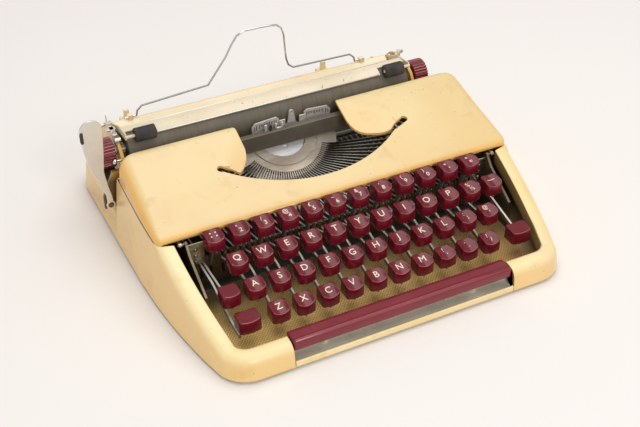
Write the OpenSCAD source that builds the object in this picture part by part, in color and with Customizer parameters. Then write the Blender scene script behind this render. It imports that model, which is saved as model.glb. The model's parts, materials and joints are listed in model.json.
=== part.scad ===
// Flat portable typewriter with a raised ribbon cover, four rows of keys and a sliding carriage.
// Frame: +Z up, floor at z = 0, +Y towards the back, +X to the typist's right.
// The frame's origin lies under the middle of the whole outline, return lever included.

/* [Casing] */
// Width of the casing at the floor beside the keys, on each side
side_band = 38; // [34:0.5:46]
// Depth of the casing behind the platen's axis
rear_d = 79.1; // [76:0.1:90]
// Radius of the front corners in plan
front_corner_r = 25; // [18:1:32]
// Radius of the rear corners in plan
rear_corner_r = 22; // [14:1:30]
// How far each side draws in towards the front
side_taper = 13; // [6:0.5:16]
// Sideways lean of the walls per millimetre of height
wall_lean = 0.1; // [0.06:0.01:0.13]
// Sheet thickness of the casing
wall_t = 2; // [1.4:0.1:2.4]
// Height of the casing's lower edge over the floor
casing_lift = 2.5; // [1.5:0.1:3]
// Height of the rim at the front
front_rim_h = 20; // [17:0.5:23]
// Height of the low casing behind the cover
rear_rim_h = 26; // [22:0.5:28]
// Radius of the rim's outer edge round the keyboard
rim_r = 8; // [5:0.5:9]
// Width of the rim round the keyboard
rim_w = 13; // [11:0.5:14]
// Half length of the gap for the space bar in the front rim
bar_gap_half = 88; // [80:1:96]

/* [Ribbon cover] */
// Y of the cover's front lip
lip_y = -42; // [-42.5:0.25:-40]
// Y of the cover's rear edge
cover_rear_y = 43.5; // [40:0.5:44]
// Height of the seam at the front lip
seam_front_z = 52.6; // [50:0.2:54]
// Height of the seam at the rear edge
seam_rear_z = 60; // [56:0.5:62]
// Height of the cover's top just behind the lip
cover_front_h = 59; // [57:0.5:62]
// Height of the cover's top at the rear
cover_rear_h = 78.5; // [76:0.5:82]
// Sheet thickness of the cover
cover_t = 2; // [1.4:0.1:2.4]
// Radius of the cover's long side edges
cover_edge_r = 10; // [6:0.5:13]
// Open seam between the cover and the casing
seam_gap = 0.5; // [0.3:0.1:1]
// Radius of the curved front edge of the type opening
opening_r = 113.5; // [105:0.5:122]
// Distance of the type opening from the cover's front lip
opening_back = 17.5; // [15:0.5:22]
// Inner edge of the left tongue, from the casing's middle
left_tongue_x = 51.5; // [46:0.5:56]
// Inner edge of the right tongue, from the casing's middle
right_tongue_x = 34.5; // [30:0.5:40]
// Y of the front edge of the tongues
tongue_y = 2.5; // [0:0.5:6]
// Corner radius of each tongue
tongue_r = 13; // [8:0.5:15]
// How far the tip of each tongue is bent down
tongue_dip = 6; // [3:0.5:8]

/* [Keyboard] */
// Distance between key centres along a row
key_pitch = 19; // [18.6:0.05:19.2]
// Distance between rows from front to back
row_pitch = 18.34; // [18:0.05:19]
// Height of one row over the row in front of it
row_rise = 10.55; // [9.5:0.05:11]
// Gap between the cover's front lip and the number row
lip_key_gap = 3.3; // [2.8:0.1:4.5]
// Height of the number row's key tops
number_row_z = 60; // [59:0.25:62]
// Width of a character key
cap_w = 14; // [12:0.1:14.4]
// Depth of a key from front to back
cap_d = 13.4; // [12:0.1:13.6]
// Height of a key cap
cap_h = 11; // [9:0.1:11.2]
// Width of the shift keys
shift_cap_w = 16.6; // [15:0.2:18]
// Corner radius of a key in plan
cap_corner_r = 3; // [1.5:0.25:4]
// Depth of the finger dish across a key top
dish_depth = 1.8; // [0.8:0.1:2.4]
// Depth of the dish below the key's top at its front edge
dish_front = 3; // [1.5:0.1:3.6]
// Depth of the shallow dish in the shift keys and the shift lock
flat_dish = 0.5; // [0.3:0.1:0.8]
// Travel of a key at its cap
key_travel = 8; // [5:0.25:8]
// Offset of the keyboard from the middle of the casing
keyboard_x = -2.7; // [-4:0.1:1]
// Gap between the bottom row and the space bar
bar_key_gap = 11.08; // [9:0.02:13]
// Gap between each end of the space bar and the casing
bar_end_gap = 1; // [0.6:0.1:2]
// Depth of the space bar from front to back
bar_d = 14; // [12:0.25:14.5]
// Height of the space bar's top ridge
bar_top_z = 22; // [21:0.25:24]
// Travel of the space bar
bar_travel = 5; // [3:0.25:5]

/* [Key levers] */
// Thickness of a key lever
lever_t = 1.5; // [1:0.1:1.8]
// Depth of a key lever
lever_h = 3.4; // [2.6:0.1:3.6]
// Y of the rod on which all key levers swing
fulcrum_y = 75; // [72:0.5:76]
// Height of the rod on which all key levers swing
fulcrum_z = 11; // [10:0.25:12]
// Radius of the lever rod
fulcrum_r = 2; // [1.5:0.1:2.5]
// Radial running clearance of a shaft in its bore
run_gap = 0.05; // [0.02:0.01:0.1]

/* [Type basket] */
// Y of the centre of the type segment
segment_y = 62.8; // [62:0.1:63.5]
// Height of the centre of the type segment
segment_z = 45.4; // [45:0.1:46]
// Slope of the type segment
segment_tilt = 30; // [28:0.5:32]
// Outer radius of the type segment
segment_r = 46; // [44:0.5:47]
// Radius of the window in the segment
segment_window_r = 20; // [16:0.5:23]
// Thickness of the segment
segment_t = 7; // [5:0.25:7.5]
// Number of typebars
typebar_count = 43; // [21:2:45]
// Length of a typebar from its pivot to its type
typebar_len = 60; // [54:0.5:61]
// Rise of a resting typebar out of the segment's plane
typebar_rise = 40; // [38:0.5:44]
// Thickness of a typebar
typebar_t = 0.8; // [0.6:0.05:0.9]

/* [Carriage] */
// Distance of the carriage's middle from the casing's middle at rest
carriage_x = -13; // [-16:0.5:-6]
// Half length of the platen
platen_half = 119; // [112:0.5:119.4]
// Radius of the platen
platen_r = 15.5; // [14:0.1:15.6]
// Y of the platen's axis
platen_y = 63.4; // [63:0.1:64]
// Height of the platen's axis
platen_z = 70; // [69.6:0.1:72]
// Radius of the platen shaft
shaft_r = 3.5; // [2.5:0.1:4]
// Gap between each end of the platen and the end plate
end_gap = 4.5; // [4.2:0.1:6]
// Thickness of the end plates
end_plate_t = 2.5; // [2:0.1:2.8]
// Radius of the platen knobs
knob_r = 11.5; // [10.5:0.25:12.5]
// Length of the platen knobs
knob_len = 12; // [9:0.5:12.5]
// Ribs round each platen knob
knob_ribs = 30; // [18:2:36]
// Radius of a feed roller
feed_r = 4; // [3.4:0.1:4.2]
// Gap between two rollers that press paper between them
paper_gap = 0.3; // [0.2:0.05:0.5]
// Thickness of the paper table's sheet
table_t = 1.6; // [1.2:0.1:2]
// Radius of the paper support's wire
wire_r = 0.8; // [0.6:0.05:1]
// Height of the return lever's paddle
lever_top_z = 103; // [98:0.5:106]
// Half width of the return lever's paddle
paddle_r = 8.5; // [6:0.25:9]

/* [Hidden] */
$fn = 48;
// Overlap of a cutter past the face that it cuts
past = 1;
body_w = 12 * key_pitch + 2 * side_band;
number_row_y = lip_y - lip_key_gap - cap_d / 2;
row_y = [for (k = [0:3]) number_row_y - k * row_pitch];
row_top = [for (k = [0:3]) number_row_z - k * row_rise];
row_offset = [-5.5, -6, -5.75, -5.25];
row_last = [11, 11, 11, 10];
bar_len = 2 * (bar_gap_half - bar_end_gap);
bar_y = row_y[3] - cap_d / 2 - bar_key_gap - bar_d / 2;
front_y = bar_y - bar_d / 2 - 3.7;
rear_y = platen_y + rear_d;
taper_run = -front_y - front_corner_r;
opening_front_y = lip_y + opening_back;
end_plate_x = platen_half + end_gap;
seam_rim = [2.4, 4.8];
rear_rim = [4, 8];
rim_lip = 3;
rim_foot_y = front_y + 15;
pan_t = 1.5;
pan_top = casing_lift + pan_t;
pan_gap = 0.3;
mat_t = 1.2;
side_plate_x = body_w / 2 - 28;
side_plate_t = 2;
hinge_y = lip_y - 0.4;
hinge_z = seam_front_z - 2.1;
hinge_pin_r = 1;
hinge_ear_r = 1.8;
hinge_x = side_plate_x + side_plate_t + 2;
hinge_t = 2.5;
bar_bottom_z = bar_top_z - 8;
bar_wall = 2;
stem_r = 2;
stem_x = bar_len / 2 - 27;
stem_y = bar_y + bar_d / 2 - bar_wall - stem_r - 0.2;
roof_z = bar_top_z - 3.4;
boss_h = min(6, roof_z - bar_travel - casing_lift - 1);
stem_end_z = bar_travel + 1;
shift_x = [key_x(3, 0) - 4.25, key_x(3, 11) + 6.75];
shift_lever_x = [key_x(3, 0) - 12.15, key_x(3, 11) + 11.75];
yoke_y = fulcrum_y + 13;
comb_y = lip_y + 2;
comb_t = 2;
slot_gap = 0.3;
comb_lever_z = 25;
slot_floor = comb_lever_z - 0.75 * lever_h - 1
    - key_travel * (fulcrum_y - comb_y) / (fulcrum_y - number_row_y);
boss_r = fulcrum_r + 2.5;
dish_rear = 0.4;
function dish_r(w, depth) = (pow(w / 2 - 0.9, 2) + pow(depth, 2)) / (2 * depth);
plate_out = end_plate_x + end_plate_t;
lever_pivot_x = carriage_x - plate_out - 13;
lever_pivot_z = 35;
lever_y = cover_rear_y + 2.1;
lever_blade_t = 1.6;
paddle_x = lever_pivot_x - 7.5;
frame_x = -(paddle_x - paddle_r + body_w / 2) / 2;
rail_y = 99;
rail_half = side_plate_x + side_plate_t + 1;
rail_z = 32;
runner_w = 8;
runner_gap = 0.3;
bed_z = 44;
bed_t = 2.5;
margin_rail_y = 117;
margin_rail_z = 56;
margin_rail_r = 2;
pinion_teeth = 20;
space_step = 2.54;
pinion_r = pinion_teeth * space_step / (2 * PI);
pinion_x = carriage_x + 9;
pitch_z = bed_z - 4.4;
pinion_z = pitch_z - pinion_r;
rack_y = rail_y + 10.2;
rack_w = 3;
pin_r = 1.5;
seat_gap = 0.02;
release_y = 82;
release_z = 70;
cup_x = side_plate_x - 12;
cup_y = 14;
cup_r = 18;
cup_z = 46;
bail_pivot_y = 83;
bail_pivot_z = 78;
bail_r = 5.4;
bail_axle_r = 1.2;
bail_roller_x = platen_half - 13.5;
bail_roller_len = 16;
bail_dist = platen_r + bail_r + paper_gap;
bail_lean = 36.5;
bail_roller_y = platen_y - bail_dist * sin(bail_lean);
bail_roller_z = platen_z + bail_dist * cos(bail_lean);
wire_y = 88;
wire_z = 80;

function lerp(a, b, t) = a + (b - a) * t;
function half_w(y) = body_w / 2 - (y < 0 ? side_taper * pow(y / taper_run, 2) : 0);
function side_turn(y) = y < 0 ? atan(-2 * side_taper * y / pow(taper_run, 2)) : 0;
function seam_z(y) = lerp(seam_front_z, seam_rear_z, (y - lip_y) / (cover_rear_y - lip_y));
function key_x(row, i) = keyboard_x + (i + row_offset[row]) * key_pitch;

// Plan of the casing's foot as stations of x, y and the outward direction, left half from the front gap.
corner_lead = side_turn(-taper_run);
corner_y = front_y + front_corner_r;
corner_end_y = corner_y - front_corner_r * sin(corner_lead);
corner_x = -half_w(corner_end_y) + front_corner_r * cos(corner_lead);
side_stations = concat(
    [for (k = [1:6]) lerp(corner_end_y, lip_y - 1, k / 6)],
    [lip_y + 1.5],
    [for (k = [1:3]) lerp(lip_y + 1.5, cover_rear_y - 2, k / 3)],
    [cover_rear_y - 0.6, cover_rear_y, cover_rear_y + 0.5, cover_rear_y + 1.2],
    [lerp(cover_rear_y, rear_y - rear_corner_r, 0.5)]
);
left_path = concat(
    [[-bar_gap_half, front_y, 270]],
    [for (a = [270:-13:180 + corner_lead])
        [corner_x + front_corner_r * cos(a), corner_y + front_corner_r * sin(a), a]],
    [for (y = side_stations) [-half_w(y), y, 180 + side_turn(y)]],
    [for (a = [180:-15:90]) [
        rear_corner_r - body_w / 2 + rear_corner_r * cos(a),
        rear_y - rear_corner_r + rear_corner_r * sin(a), a]]
);
mirrored_path = [for (k = [len(left_path) - 1:-1:0])
    [-left_path[k][0], left_path[k][1], 180 - left_path[k][2]]];
casing_path = concat(left_path, mirrored_path);

function wall_drop(y) = let (u = (y - cover_rear_y + 0.6) / 1.8)
    u <= 0 ? 0 : u >= 1 ? 1 : 1 - sqrt(1 - u * u);
function rim_z(y) = y < lip_y
    ? max(front_rim_h, lerp(front_rim_h, seam_front_z - seam_gap,
        (y - rim_foot_y) / (lip_y - rim_foot_y)))
    : lerp(seam_z(y) - seam_gap, rear_rim_h, wall_drop(y));
function rim_form(y) = y < lip_y ? [rim_r, rim_w] : y < cover_rear_y + 1 ? seam_rim : rear_rim;

// Cross-section of the casing wall: up to height z_top, over an edge of radius r, along a rim of width w.
function wall_section(z_top, r, w) = let (
        t = min(wall_t, 0.8 * r),
        edge = -wall_lean * (z_top - r),
        inner_r = min(1.2, w - r),
        lip = z_top - r - rim_lip
    ) concat(
        [[0, casing_lift]],
        [for (b = [0:18:90]) [edge - r + r * cos(b), z_top - r + r * sin(b)]],
        [for (b = [90:45:180]) [edge - w + inner_r + inner_r * cos(b), z_top - inner_r + inner_r * sin(b)]],
        [[edge - w, lip], [edge - w + t, lip], [edge - w + t, z_top - t]],
        [for (b = [90:-18:0]) [edge - r + (r - t) * cos(b), z_top - r + (r - t) * sin(b)]],
        [[-t, casing_lift]]
    );
function casing_ring(st) = let (form = rim_form(st[1]))
    [for (p = wall_section(rim_z(st[1]), form[0], form[1]))
        [st[0] + p[0] * cos(st[2]), st[1] + p[0] * sin(st[2]), p[1]]];

// Skin of triangles over a row of equal rings, closed at both ends.
module skin(rings) {
    n = len(rings);
    k = len(rings[0]);
    sides = [for (i = [0:n - 2], j = [0:k - 1], half = [0, 1])
        let (a = i * k + j, b = i * k + (j + 1) % k)
        half == 0 ? [a, a + k, b] : [b, a + k, b + k]];
    ends = [[for (j = [0:k - 1]) j], [for (j = [k - 1:-1:0]) (n - 1) * k + j]];
    polyhedron(points = [for (r = rings, p = r) p], faces = concat(sides, ends), convexity = 6);
}

// Height of the cover's top over the machine: a straight slope, rolled down at the lip and at the rear.
lip_roll = 8;
rear_roll = 6;
function cover_slope(y) = lerp(cover_front_h, cover_rear_h,
    (y - lip_y - lip_roll) / (cover_rear_y - lip_y - lip_roll - rear_roll));
function rolled(u) = u <= 0 ? 0 : 1 - sqrt(1 - pow(min(u, 1), 2));
function cover_top(y) = cover_slope(y)
    - (cover_slope(lip_y) - seam_front_z - 1.4) * rolled((lip_y + lip_roll - y) / lip_roll)
    - 4.5 * rolled((y - cover_rear_y + rear_roll) / rear_roll);
function cover_corner(y) = 8 * rolled((y - cover_rear_y + 8) / 8);
cover_stations = concat(
    [for (a = [0, 0.08, 0.28, 0.6, 1]) lip_y + a * lip_roll],
    [for (k = [1:4]) lerp(lip_y + lip_roll, cover_rear_y - 8, k / 4)],
    [for (a = [0.25, 0.6, 0.85, 1]) cover_rear_y - 8 + 8 * a]
);

// Cross-section of the cover, drawn in by a distance.
function cover_outline(y, inset) = let (
        base = seam_z(y) - 3 * inset,
        top = cover_top(y) - inset,
        w = half_w(y) - cover_corner(y) - inset,
        r = max(0.2, min(cover_edge_r - inset, 0.85 * (top - seam_z(y)))),
        c = w - wall_lean * (top - r) - r
    ) concat(
        [[w - wall_lean * base, base]],
        [for (a = [0:18:90]) [c + r * cos(a), top - r + r * sin(a)]],
        [for (a = [90:18:180]) [-c + r * cos(a), top - r + r * sin(a)]],
        [[wall_lean * base - w, base]]
    );

// Plan of the casing drawn in by a distance, for the sheets that lie inside it.
function inner_plan(inset) = concat(
    [for (s = left_path) [s[0] - inset * cos(s[2]), s[1] - inset * sin(s[2])]],
    [for (s = mirrored_path) [s[0] - inset * cos(s[2]), s[1] - inset * sin(s[2])]]
);

module along_x(len) {
    rotate([90, 0, 90]) linear_extrude(height = len, center = true) children();
}

module rod_x(x0, x1, y, z, r) {
    translate([x0, y, z]) rotate([0, 90, 0]) cylinder(h = x1 - x0, r = r);
}

// Rounded rectangle about the origin.
function rounded(w, d, r) = [for (c = [[1, 1, 0], [-1, 1, 90], [-1, -1, 180], [1, -1, 270]], a = [0:30:90])
    [c[0] * (w / 2 - r) + r * cos(a + c[2]), c[1] * (d / 2 - r) + r * sin(a + c[2])]];

module place() {
    translate([frame_x, 0, 0]) children();
}

module on_carriage() {
    translate([frame_x + carriage_x, 0, 0]) children();
}

// Plate between two x values, drawn in y and z.
module plate_x(x0, x1) {
    translate([(x0 + x1) / 2, 0, 0]) along_x(x1 - x0) children();
}

// Plate between two y values, drawn in x and z.
module plate_y(y0, y1) {
    translate([0, y1, 0]) rotate([90, 0, 0]) linear_extrude(y1 - y0) children();
}

module rod_y(y0, y1, x, z, r) {
    translate([x, y0, z]) rotate([-90, 0, 0]) cylinder(h = y1 - y0, r = r);
}

// Outline of a band of even width along a broken line, with mitred bends.
function unit(v) = v / norm(v);
function across(v) = [-v[1], v[0]];
function band_side(p, w) = let (e = len(p) - 1) [for (i = [0:e]) let (
        a = across(unit(p[max(i, 1)] - p[max(i, 1) - 1])),
        b = across(unit(p[min(i + 1, e)] - p[min(i + 1, e) - 1])),
        n = unit(a + b)
    ) p[i] + n * (w / 2 / (n * a))];
function band(p, w) = let (l = band_side(p, w), r = band_side(p, -w))
    concat(l, [for (i = [len(p) - 1:-1:0]) r[i]]);

// Toothed outline: even teeth between a root and a tip radius, given as widths at both.
function toothed(n, root_r, tip_r, root_w, tip_w) = [for (i = [0:n - 1], q = [
        [root_r, -root_w / 2], [tip_r, -tip_w / 2], [tip_r, tip_w / 2], [root_r, root_w / 2]])
    let (a = 90 - 360 * i / n)
    [q[0] * cos(a) + q[1] * sin(a), q[0] * sin(a) - q[1] * cos(a)]];

// Casing pieces that never move

module base_pan() {
    color([0.55, 0.57, 0.50])
    place() difference() {
        union() {
            translate([0, 0, casing_lift]) linear_extrude(pan_t) polygon(inner_plan(wall_t + pan_gap));
            for (s = [-1, 1]) translate([s * stem_x, stem_y, casing_lift])
                cylinder(h = boss_h, r = stem_r + 1.2);
        }
        for (s = [-1, 1]) translate([s * stem_x, stem_y, casing_lift - past])
            cylinder(h = boss_h + 2 * past, r = stem_r + run_gap);
    }
}

module lower_casing() {
    color([0.93, 0.80, 0.50])
    place() skin([for (s = casing_path) casing_ring(s)]);
}

module front_strip() {
    strip_h = 7;
    strip_t = 2;
    color([0.93, 0.80, 0.50])
    place() translate([0, front_y, 0]) along_x(2 * (bar_gap_half - 0.4)) union() {
        translate([0, casing_lift]) square([strip_t, strip_h - casing_lift - strip_t / 2]);
        translate([strip_t / 2, strip_h - strip_t / 2]) circle(strip_t / 2);
    }
}

module rubber_feet() {
    color([0.12, 0.12, 0.12])
    place() for (x = [42 - body_w / 2, body_w / 2 - 42], y = [front_y + 30, rear_y - 30])
        translate([x, y, 0]) cylinder(h = casing_lift, r = 8);
}

module keyboard_mat() {
    half = side_plate_x - 3;
    rear = lip_y - 3;
    front = stem_y + stem_r + 1.5;
    wing = bar_gap_half + 2;
    color([0.62, 0.52, 0.22])
    place() translate([0, 0, pan_top]) linear_extrude(mat_t) polygon([
        [-half, rear], [-half, front_y + 13], [-wing, front_y + 13], [-wing, front],
        [wing, front], [wing, front_y + 13], [half, front_y + 13], [half, rear]
    ]);
}

// Frame of the mechanism

module side_plate() {
    x0 = side_plate_x;
    x1 = side_plate_x + side_plate_t;
    rest_gap = 0.3;
    post = [for (y = [30, 36]) [y, cover_top(y) - cover_t - rest_gap]];
    difference() {
        union() {
            plate_x(x0, x1) polygon(concat(
                [[lip_y - 36, pan_top], [lip_y - 36, 28], [lip_y - 8, 44]],
                [[hinge_y - hinge_ear_r, hinge_z], [hinge_y + hinge_ear_r, hinge_z]],
                [[lip_y + 8, cup_z], [28, cup_z]],
                post,
                [[41, 66], [41, 30], [60, 30], [60, 45], [71, 45], [74, rail_z]],
                [[rail_y + 8, rail_z], [rail_y + 8, pan_top]]
            ));
            rod_x(x0, x1, hinge_y, hinge_z, hinge_ear_r);
            rod_x(x0, hinge_x + hinge_t + 0.6, hinge_y, hinge_z, hinge_pin_r);
        }
        rod_x(x0 - past, x1 + past, fulcrum_y, fulcrum_z, fulcrum_r + seat_gap);
    }
}

module left_side_plate() {
    color([0.45, 0.46, 0.47])
    place() mirror([1, 0, 0]) side_plate();
}

module right_side_plate() {
    color([0.45, 0.46, 0.47])
    place() side_plate();
}

module lever_fulcrum_rod() {
    color([0.72, 0.73, 0.74])
    place() rod_x(-rail_half, rail_half, fulcrum_y, fulcrum_z, fulcrum_r);
}

lever_xs = concat(
    [for (i = [0:11]) key_x(0, i)],
    [for (i = [1:12]) key_x(1, i)],
    [for (i = [0:11]) key_x(2, i)],
    [for (i = [1:10]) key_x(3, i)],
    shift_lever_x
);

module key_comb() {
    color([0.66, 0.67, 0.68])
    place() plate_y(comb_y - comb_t / 2, comb_y + comb_t / 2) difference() {
        translate([-side_plate_x, 8]) square([2 * side_plate_x, 25]);
        for (x = lever_xs) translate([x - lever_t / 2 - slot_gap, slot_floor])
            square([lever_t + 2 * slot_gap, 25]);
    }
}

// Type basket, drawn in the segment's own plane

module in_segment() {
    translate([keyboard_x, segment_y, segment_z]) rotate([segment_tilt, 0, 0]) children();
}

typebar_fan = 122;
function typebar_turn(i) = -90 + typebar_fan * (i / (typebar_count - 1) - 0.5);
slot_w = typebar_t + 0.3;

module type_segment() {
    bar_half = side_plate_x;
    color([0.62, 0.63, 0.64])
    place() in_segment() {
        difference() {
            translate([0, 0, -segment_t]) linear_extrude(segment_t) difference() {
                intersection() {
                    circle(segment_r, $fn = 96);
                    translate([-60, -60]) square([120, 62]);
                }
                circle(segment_window_r);
            }
            translate([0, 0, -1]) rotate_extrude() translate([28, 0]) square([2, 2]);
            for (i = [0:typebar_count - 1]) rotate(typebar_turn(i))
                translate([34, -slot_w / 2, -5]) cube([20, slot_w, 6]);
        }
        translate([-bar_half - keyboard_x, 0.5, -segment_t]) cube([2 * bar_half, 5.5, segment_t - 1]);
    }
}

module segment_plate() {
    plate_r = segment_window_r - 0.2;
    color([0.80, 0.81, 0.82])
    place() in_segment() translate([0, 0, -5]) linear_extrude(3) difference() {
        intersection() {
            circle(plate_r);
            translate([-plate_r, -plate_r]) square([2 * plate_r, plate_r - 0.2]);
        }
        translate([0, -9]) circle(2.5);
    }
}

module typebars() {
    pivot = [42, -1];
    tip = pivot + typebar_len * [cos(typebar_rise), sin(typebar_rise)];
    along = [cos(typebar_rise), sin(typebar_rise)];
    color([0.74, 0.75, 0.76])
    place() in_segment() for (i = [0:typebar_count - 1]) rotate(typebar_turn(i)) {
        rotate([90, 0, 0]) linear_extrude(typebar_t, center = true) polygon([
            [38, -4], [44.5, -4], pivot + 5 * along + [1, -0.8],
            tip + 1.1 * [along[1], -along[0]], tip - 1.1 * [along[1], -along[0]],
            pivot + 5 * along + [-2, 1.6], [38, 0.6]
        ]);
        translate([tip[0], 0, tip[1]]) rotate([0, -typebar_rise, 0])
            translate([-9, -1.3, -1.5]) cube([9, 2.6, 4.5]);
    }
}

module front_rail() {
    color([0.20, 0.21, 0.22])
    place() translate([-side_plate_x, 35, 55]) cube([2 * side_plate_x, 5, 14]);
}

module type_guide() {
    color([0.82, 0.83, 0.84])
    place() translate([keyboard_x, 0, 0]) {
        plate_y(41.8, 43) difference() {
            polygon([
                [-9, 55.5], [9, 55.5], [9, 62], [6, 66], [5, 74],
                [3.4, 80], [-3.4, 80], [-5, 74], [-6, 66], [-9, 62]
            ]);
            translate([0, 73]) circle(2.2);
        }
        translate([-4, 40, 55.2]) cube([8, 2, 2.2]);
    }
}

module line_gauges() {
    color([0.80, 0.81, 0.82])
    place() for (s = [-1, 1]) translate([keyboard_x, 0, 0]) {
        plate_y(42, 43)
            polygon([for (p = [[11, 61], [34, 60], [34, 73], [31, 76.5], [13, 78], [11, 76]])
                [s * p[0], p[1]]]);
        translate([s * 30 - 3, 40, 61]) cube([6, 2, 4]);
    }
}

module ribbon_vibrator() {
    color([0.70, 0.71, 0.72])
    place() translate([keyboard_x, 0, 0]) plate_y(40.3, 41.5) difference() {
        translate([-11, 58]) square([22, 16]);
        translate([-6, 62]) square([12, 13]);
    }
}

module ribbon_cups() {
    color([0.30, 0.31, 0.32])
    place() for (s = [-1, 1]) translate([s * cup_x, cup_y, cup_z]) {
        difference() {
            cylinder(h = 12, r = cup_r);
            translate([0, 0, 1.2]) cylinder(h = 12, r = cup_r - 1.2);
        }
        cylinder(h = 12.5, r = pin_r);
    }
}

module ribbon_spool(x) {
    translate([x, cup_y, cup_z + 1.5]) difference() {
        union() {
            cylinder(h = 1, r = cup_r - 2);
            cylinder(h = 11, r = 5);
            translate([0, 0, 10]) cylinder(h = 1, r = cup_r - 2);
            cylinder(h = 10.5, r = 12.5);
        }
        translate([0, 0, -past]) cylinder(h = 11 + 2 * past, r = pin_r + run_gap);
        for (a = [0:120:240]) rotate(a) translate([8.5, 0, 10.6]) cylinder(h = 3, r = 2);
    }
}

module left_ribbon_spool() {
    color([0.16, 0.16, 0.17])
    place() ribbon_spool(-cup_x);
}

module right_ribbon_spool() {
    color([0.16, 0.16, 0.17])
    place() ribbon_spool(cup_x);
}

module carriage_rail() {
    groove_half = runner_w / 2 + runner_gap;
    color([0.40, 0.41, 0.42])
    place() {
        plate_x(-rail_half, rail_half) difference() {
            translate([rail_y - 8, rail_z]) square([16, bed_z - 0.5 - rail_z]);
            translate([rail_y - groove_half, bed_z - 6 - runner_gap]) square([2 * groove_half, 10]);
        }
        translate([pinion_x - 5, rail_y + 4, pinion_z - 5]) cube([10, 4, 8]);
        rod_y(rail_y + 7, rack_y + rack_w / 2 + 0.8, pinion_x, pinion_z, pin_r);
    }
}

module escapement_pinion() {
    color([0.75, 0.66, 0.36])
    place() difference() {
        translate([pinion_x, 0, pinion_z])
            plate_y(rack_y - rack_w / 2 + 0.3, rack_y + rack_w / 2 - 0.3)
            polygon(toothed(pinion_teeth, pinion_r - 1.3, pinion_r + 0.6, 1.2, 0.6));
        rod_y(rack_y - 3, rack_y + 3, pinion_x, pinion_z, pin_r + run_gap);
    }
}

// Ribbon cover

function cover_ring(y, inset) = [for (p = cover_outline(y, inset)) [p[0], y, p[1]]];

module cover_solid(ys, inset) {
    for (i = [0:len(ys) - 2]) hull() skin([cover_ring(ys[i], inset), cover_ring(ys[i + 1], inset)]);
}

// Roots of the tongues in the cover's sheet, in plan.
root_x = 70;
module tongue_root() {
    hull() {
        translate([root_x, tongue_y]) square([4, 8]);
        translate([root_x + 9, tongue_y + 6]) circle(3);
        translate([root_x, 43]) square([47, 8]);
    }
}

// Tongue from its inner edge to its root, bent down in front of a crease from the root to the rear corner.
tongue_ys = concat(
    [for (a = [18:18:90]) tongue_y + tongue_r - tongue_r * cos(a)],
    [for (a = [0.25, 0.5, 0.75, 1]) lerp(tongue_y + tongue_r, cover_rear_y - 8, a)],
    [for (a = [0.25, 0.6, 0.85, 1]) cover_rear_y - 8.3 + 8 * a]
);
function crease_x(inner, y) =
    lerp(root_x + 8, inner, (y - tongue_y - 4) / (cover_rear_y - 5 - tongue_y - 4));
function tongue_edge(inner, y) =
    inner
    + (y < tongue_y + tongue_r ? tongue_r - sqrt(pow(tongue_r, 2) - pow(tongue_y + tongue_r - y, 2)) : 0)
    + 5 * rolled((y - cover_rear_y + 5) / 5);
function eased_bend(u) = u > 4 ? u : u < -4 ? 0 : pow(u + 4, 2) / 16;
module tongue(inner) {
    skin([for (y = tongue_ys) let (
            top = cover_top(y) - 0.1,
            x = tongue_edge(inner, y),
            root = min(root_x + 6, 60 + 3.2 * (y - tongue_y)),
            c = max(x + 0.5, min(crease_x(inner, y), root_x + 5)),
            across = [for (t = [0:0.2:1]) lerp(x, root, t)],
            dips = [for (a = across) tongue_dip * eased_bend(c - a) / 26.5]
        ) concat(
            [for (i = [0:5]) [across[i], y, top - dips[i]]],
            [for (i = [5:-1:0]) [across[i], y, top + 0.2 - cover_t - dips[i]]]
        )]);
}

// Round end of the slot in front of a tongue's root, in plan.
module slot_end() {
    hull() {
        translate([66, 1.2]) circle(2.8, $fn = 24);
        translate([77.5, 5.8]) circle(2.8, $fn = 24);
    }
}

module ribbon_cover() {
    hollow = [for (y = cover_stations) if (y > lip_y + 2) y];
    color([0.93, 0.80, 0.50])
    place() difference() {
        cover_solid(cover_stations, 0);
        cover_solid(concat([lip_y + 1.6], hollow, [cover_rear_y + 2]), cover_t);
        linear_extrude(200) difference() {
            intersection() {
                translate([-3, opening_front_y + opening_r]) circle(opening_r, $fn = 120);
                translate([-150, -60]) square([300, 110]);
            }
            for (s = [0, 1]) mirror([s, 0, 0]) tongue_root();
        }
        linear_extrude(200) for (s = [0, 1]) mirror([s, 0, 0]) slot_end();
    }
    color([0.93, 0.80, 0.50])
    place() {
        mirror([1, 0, 0]) tongue(left_tongue_x);
        tongue(right_tongue_x);
    }
}

module cover_hinges() {
    seat = 0.1;
    color([0.60, 0.61, 0.62])
    place() for (x = [-hinge_x - hinge_t, hinge_x]) difference() {
        union() {
            plate_x(x, x + hinge_t) polygon(concat(
                [[hinge_y, hinge_z - hinge_ear_r], [lip_y + 12, hinge_z - hinge_ear_r]],
                [for (a = [18, 12, 6]) [lip_y + a, cover_top(lip_y + a) - cover_t - seat]],
                [[lip_y + 3.5, hinge_z + 1.4], [hinge_y, hinge_z + 1.4]]
            ));
            rod_x(x, x + hinge_t, hinge_y, hinge_z, hinge_ear_r);
        }
        rod_x(x - past, x + hinge_t + past, hinge_y, hinge_z, hinge_pin_r + run_gap);
    }
}

// Keys and their levers

// Key cap with a round dish that leans towards the typist.
module key_cap(row, x, w, depth, front) {
    r = dish_r(w, depth);
    lean = atan((front - dish_rear) / cap_d);
    translate([x, row_y[row], row_top[row] - cap_h]) difference() {
        linear_extrude(cap_h) polygon(rounded(w, cap_d, cap_corner_r));
        translate([0, cap_d / 2, cap_h - dish_rear]) rotate([90 + lean, 0, 0])
            translate([0, r, -5]) cylinder(h = cap_d + 10, r = r);
    }
}

module letter_cap(row, i) {
    key_cap(row, key_x(row, i), cap_w, dish_depth, dish_front);
}

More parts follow.
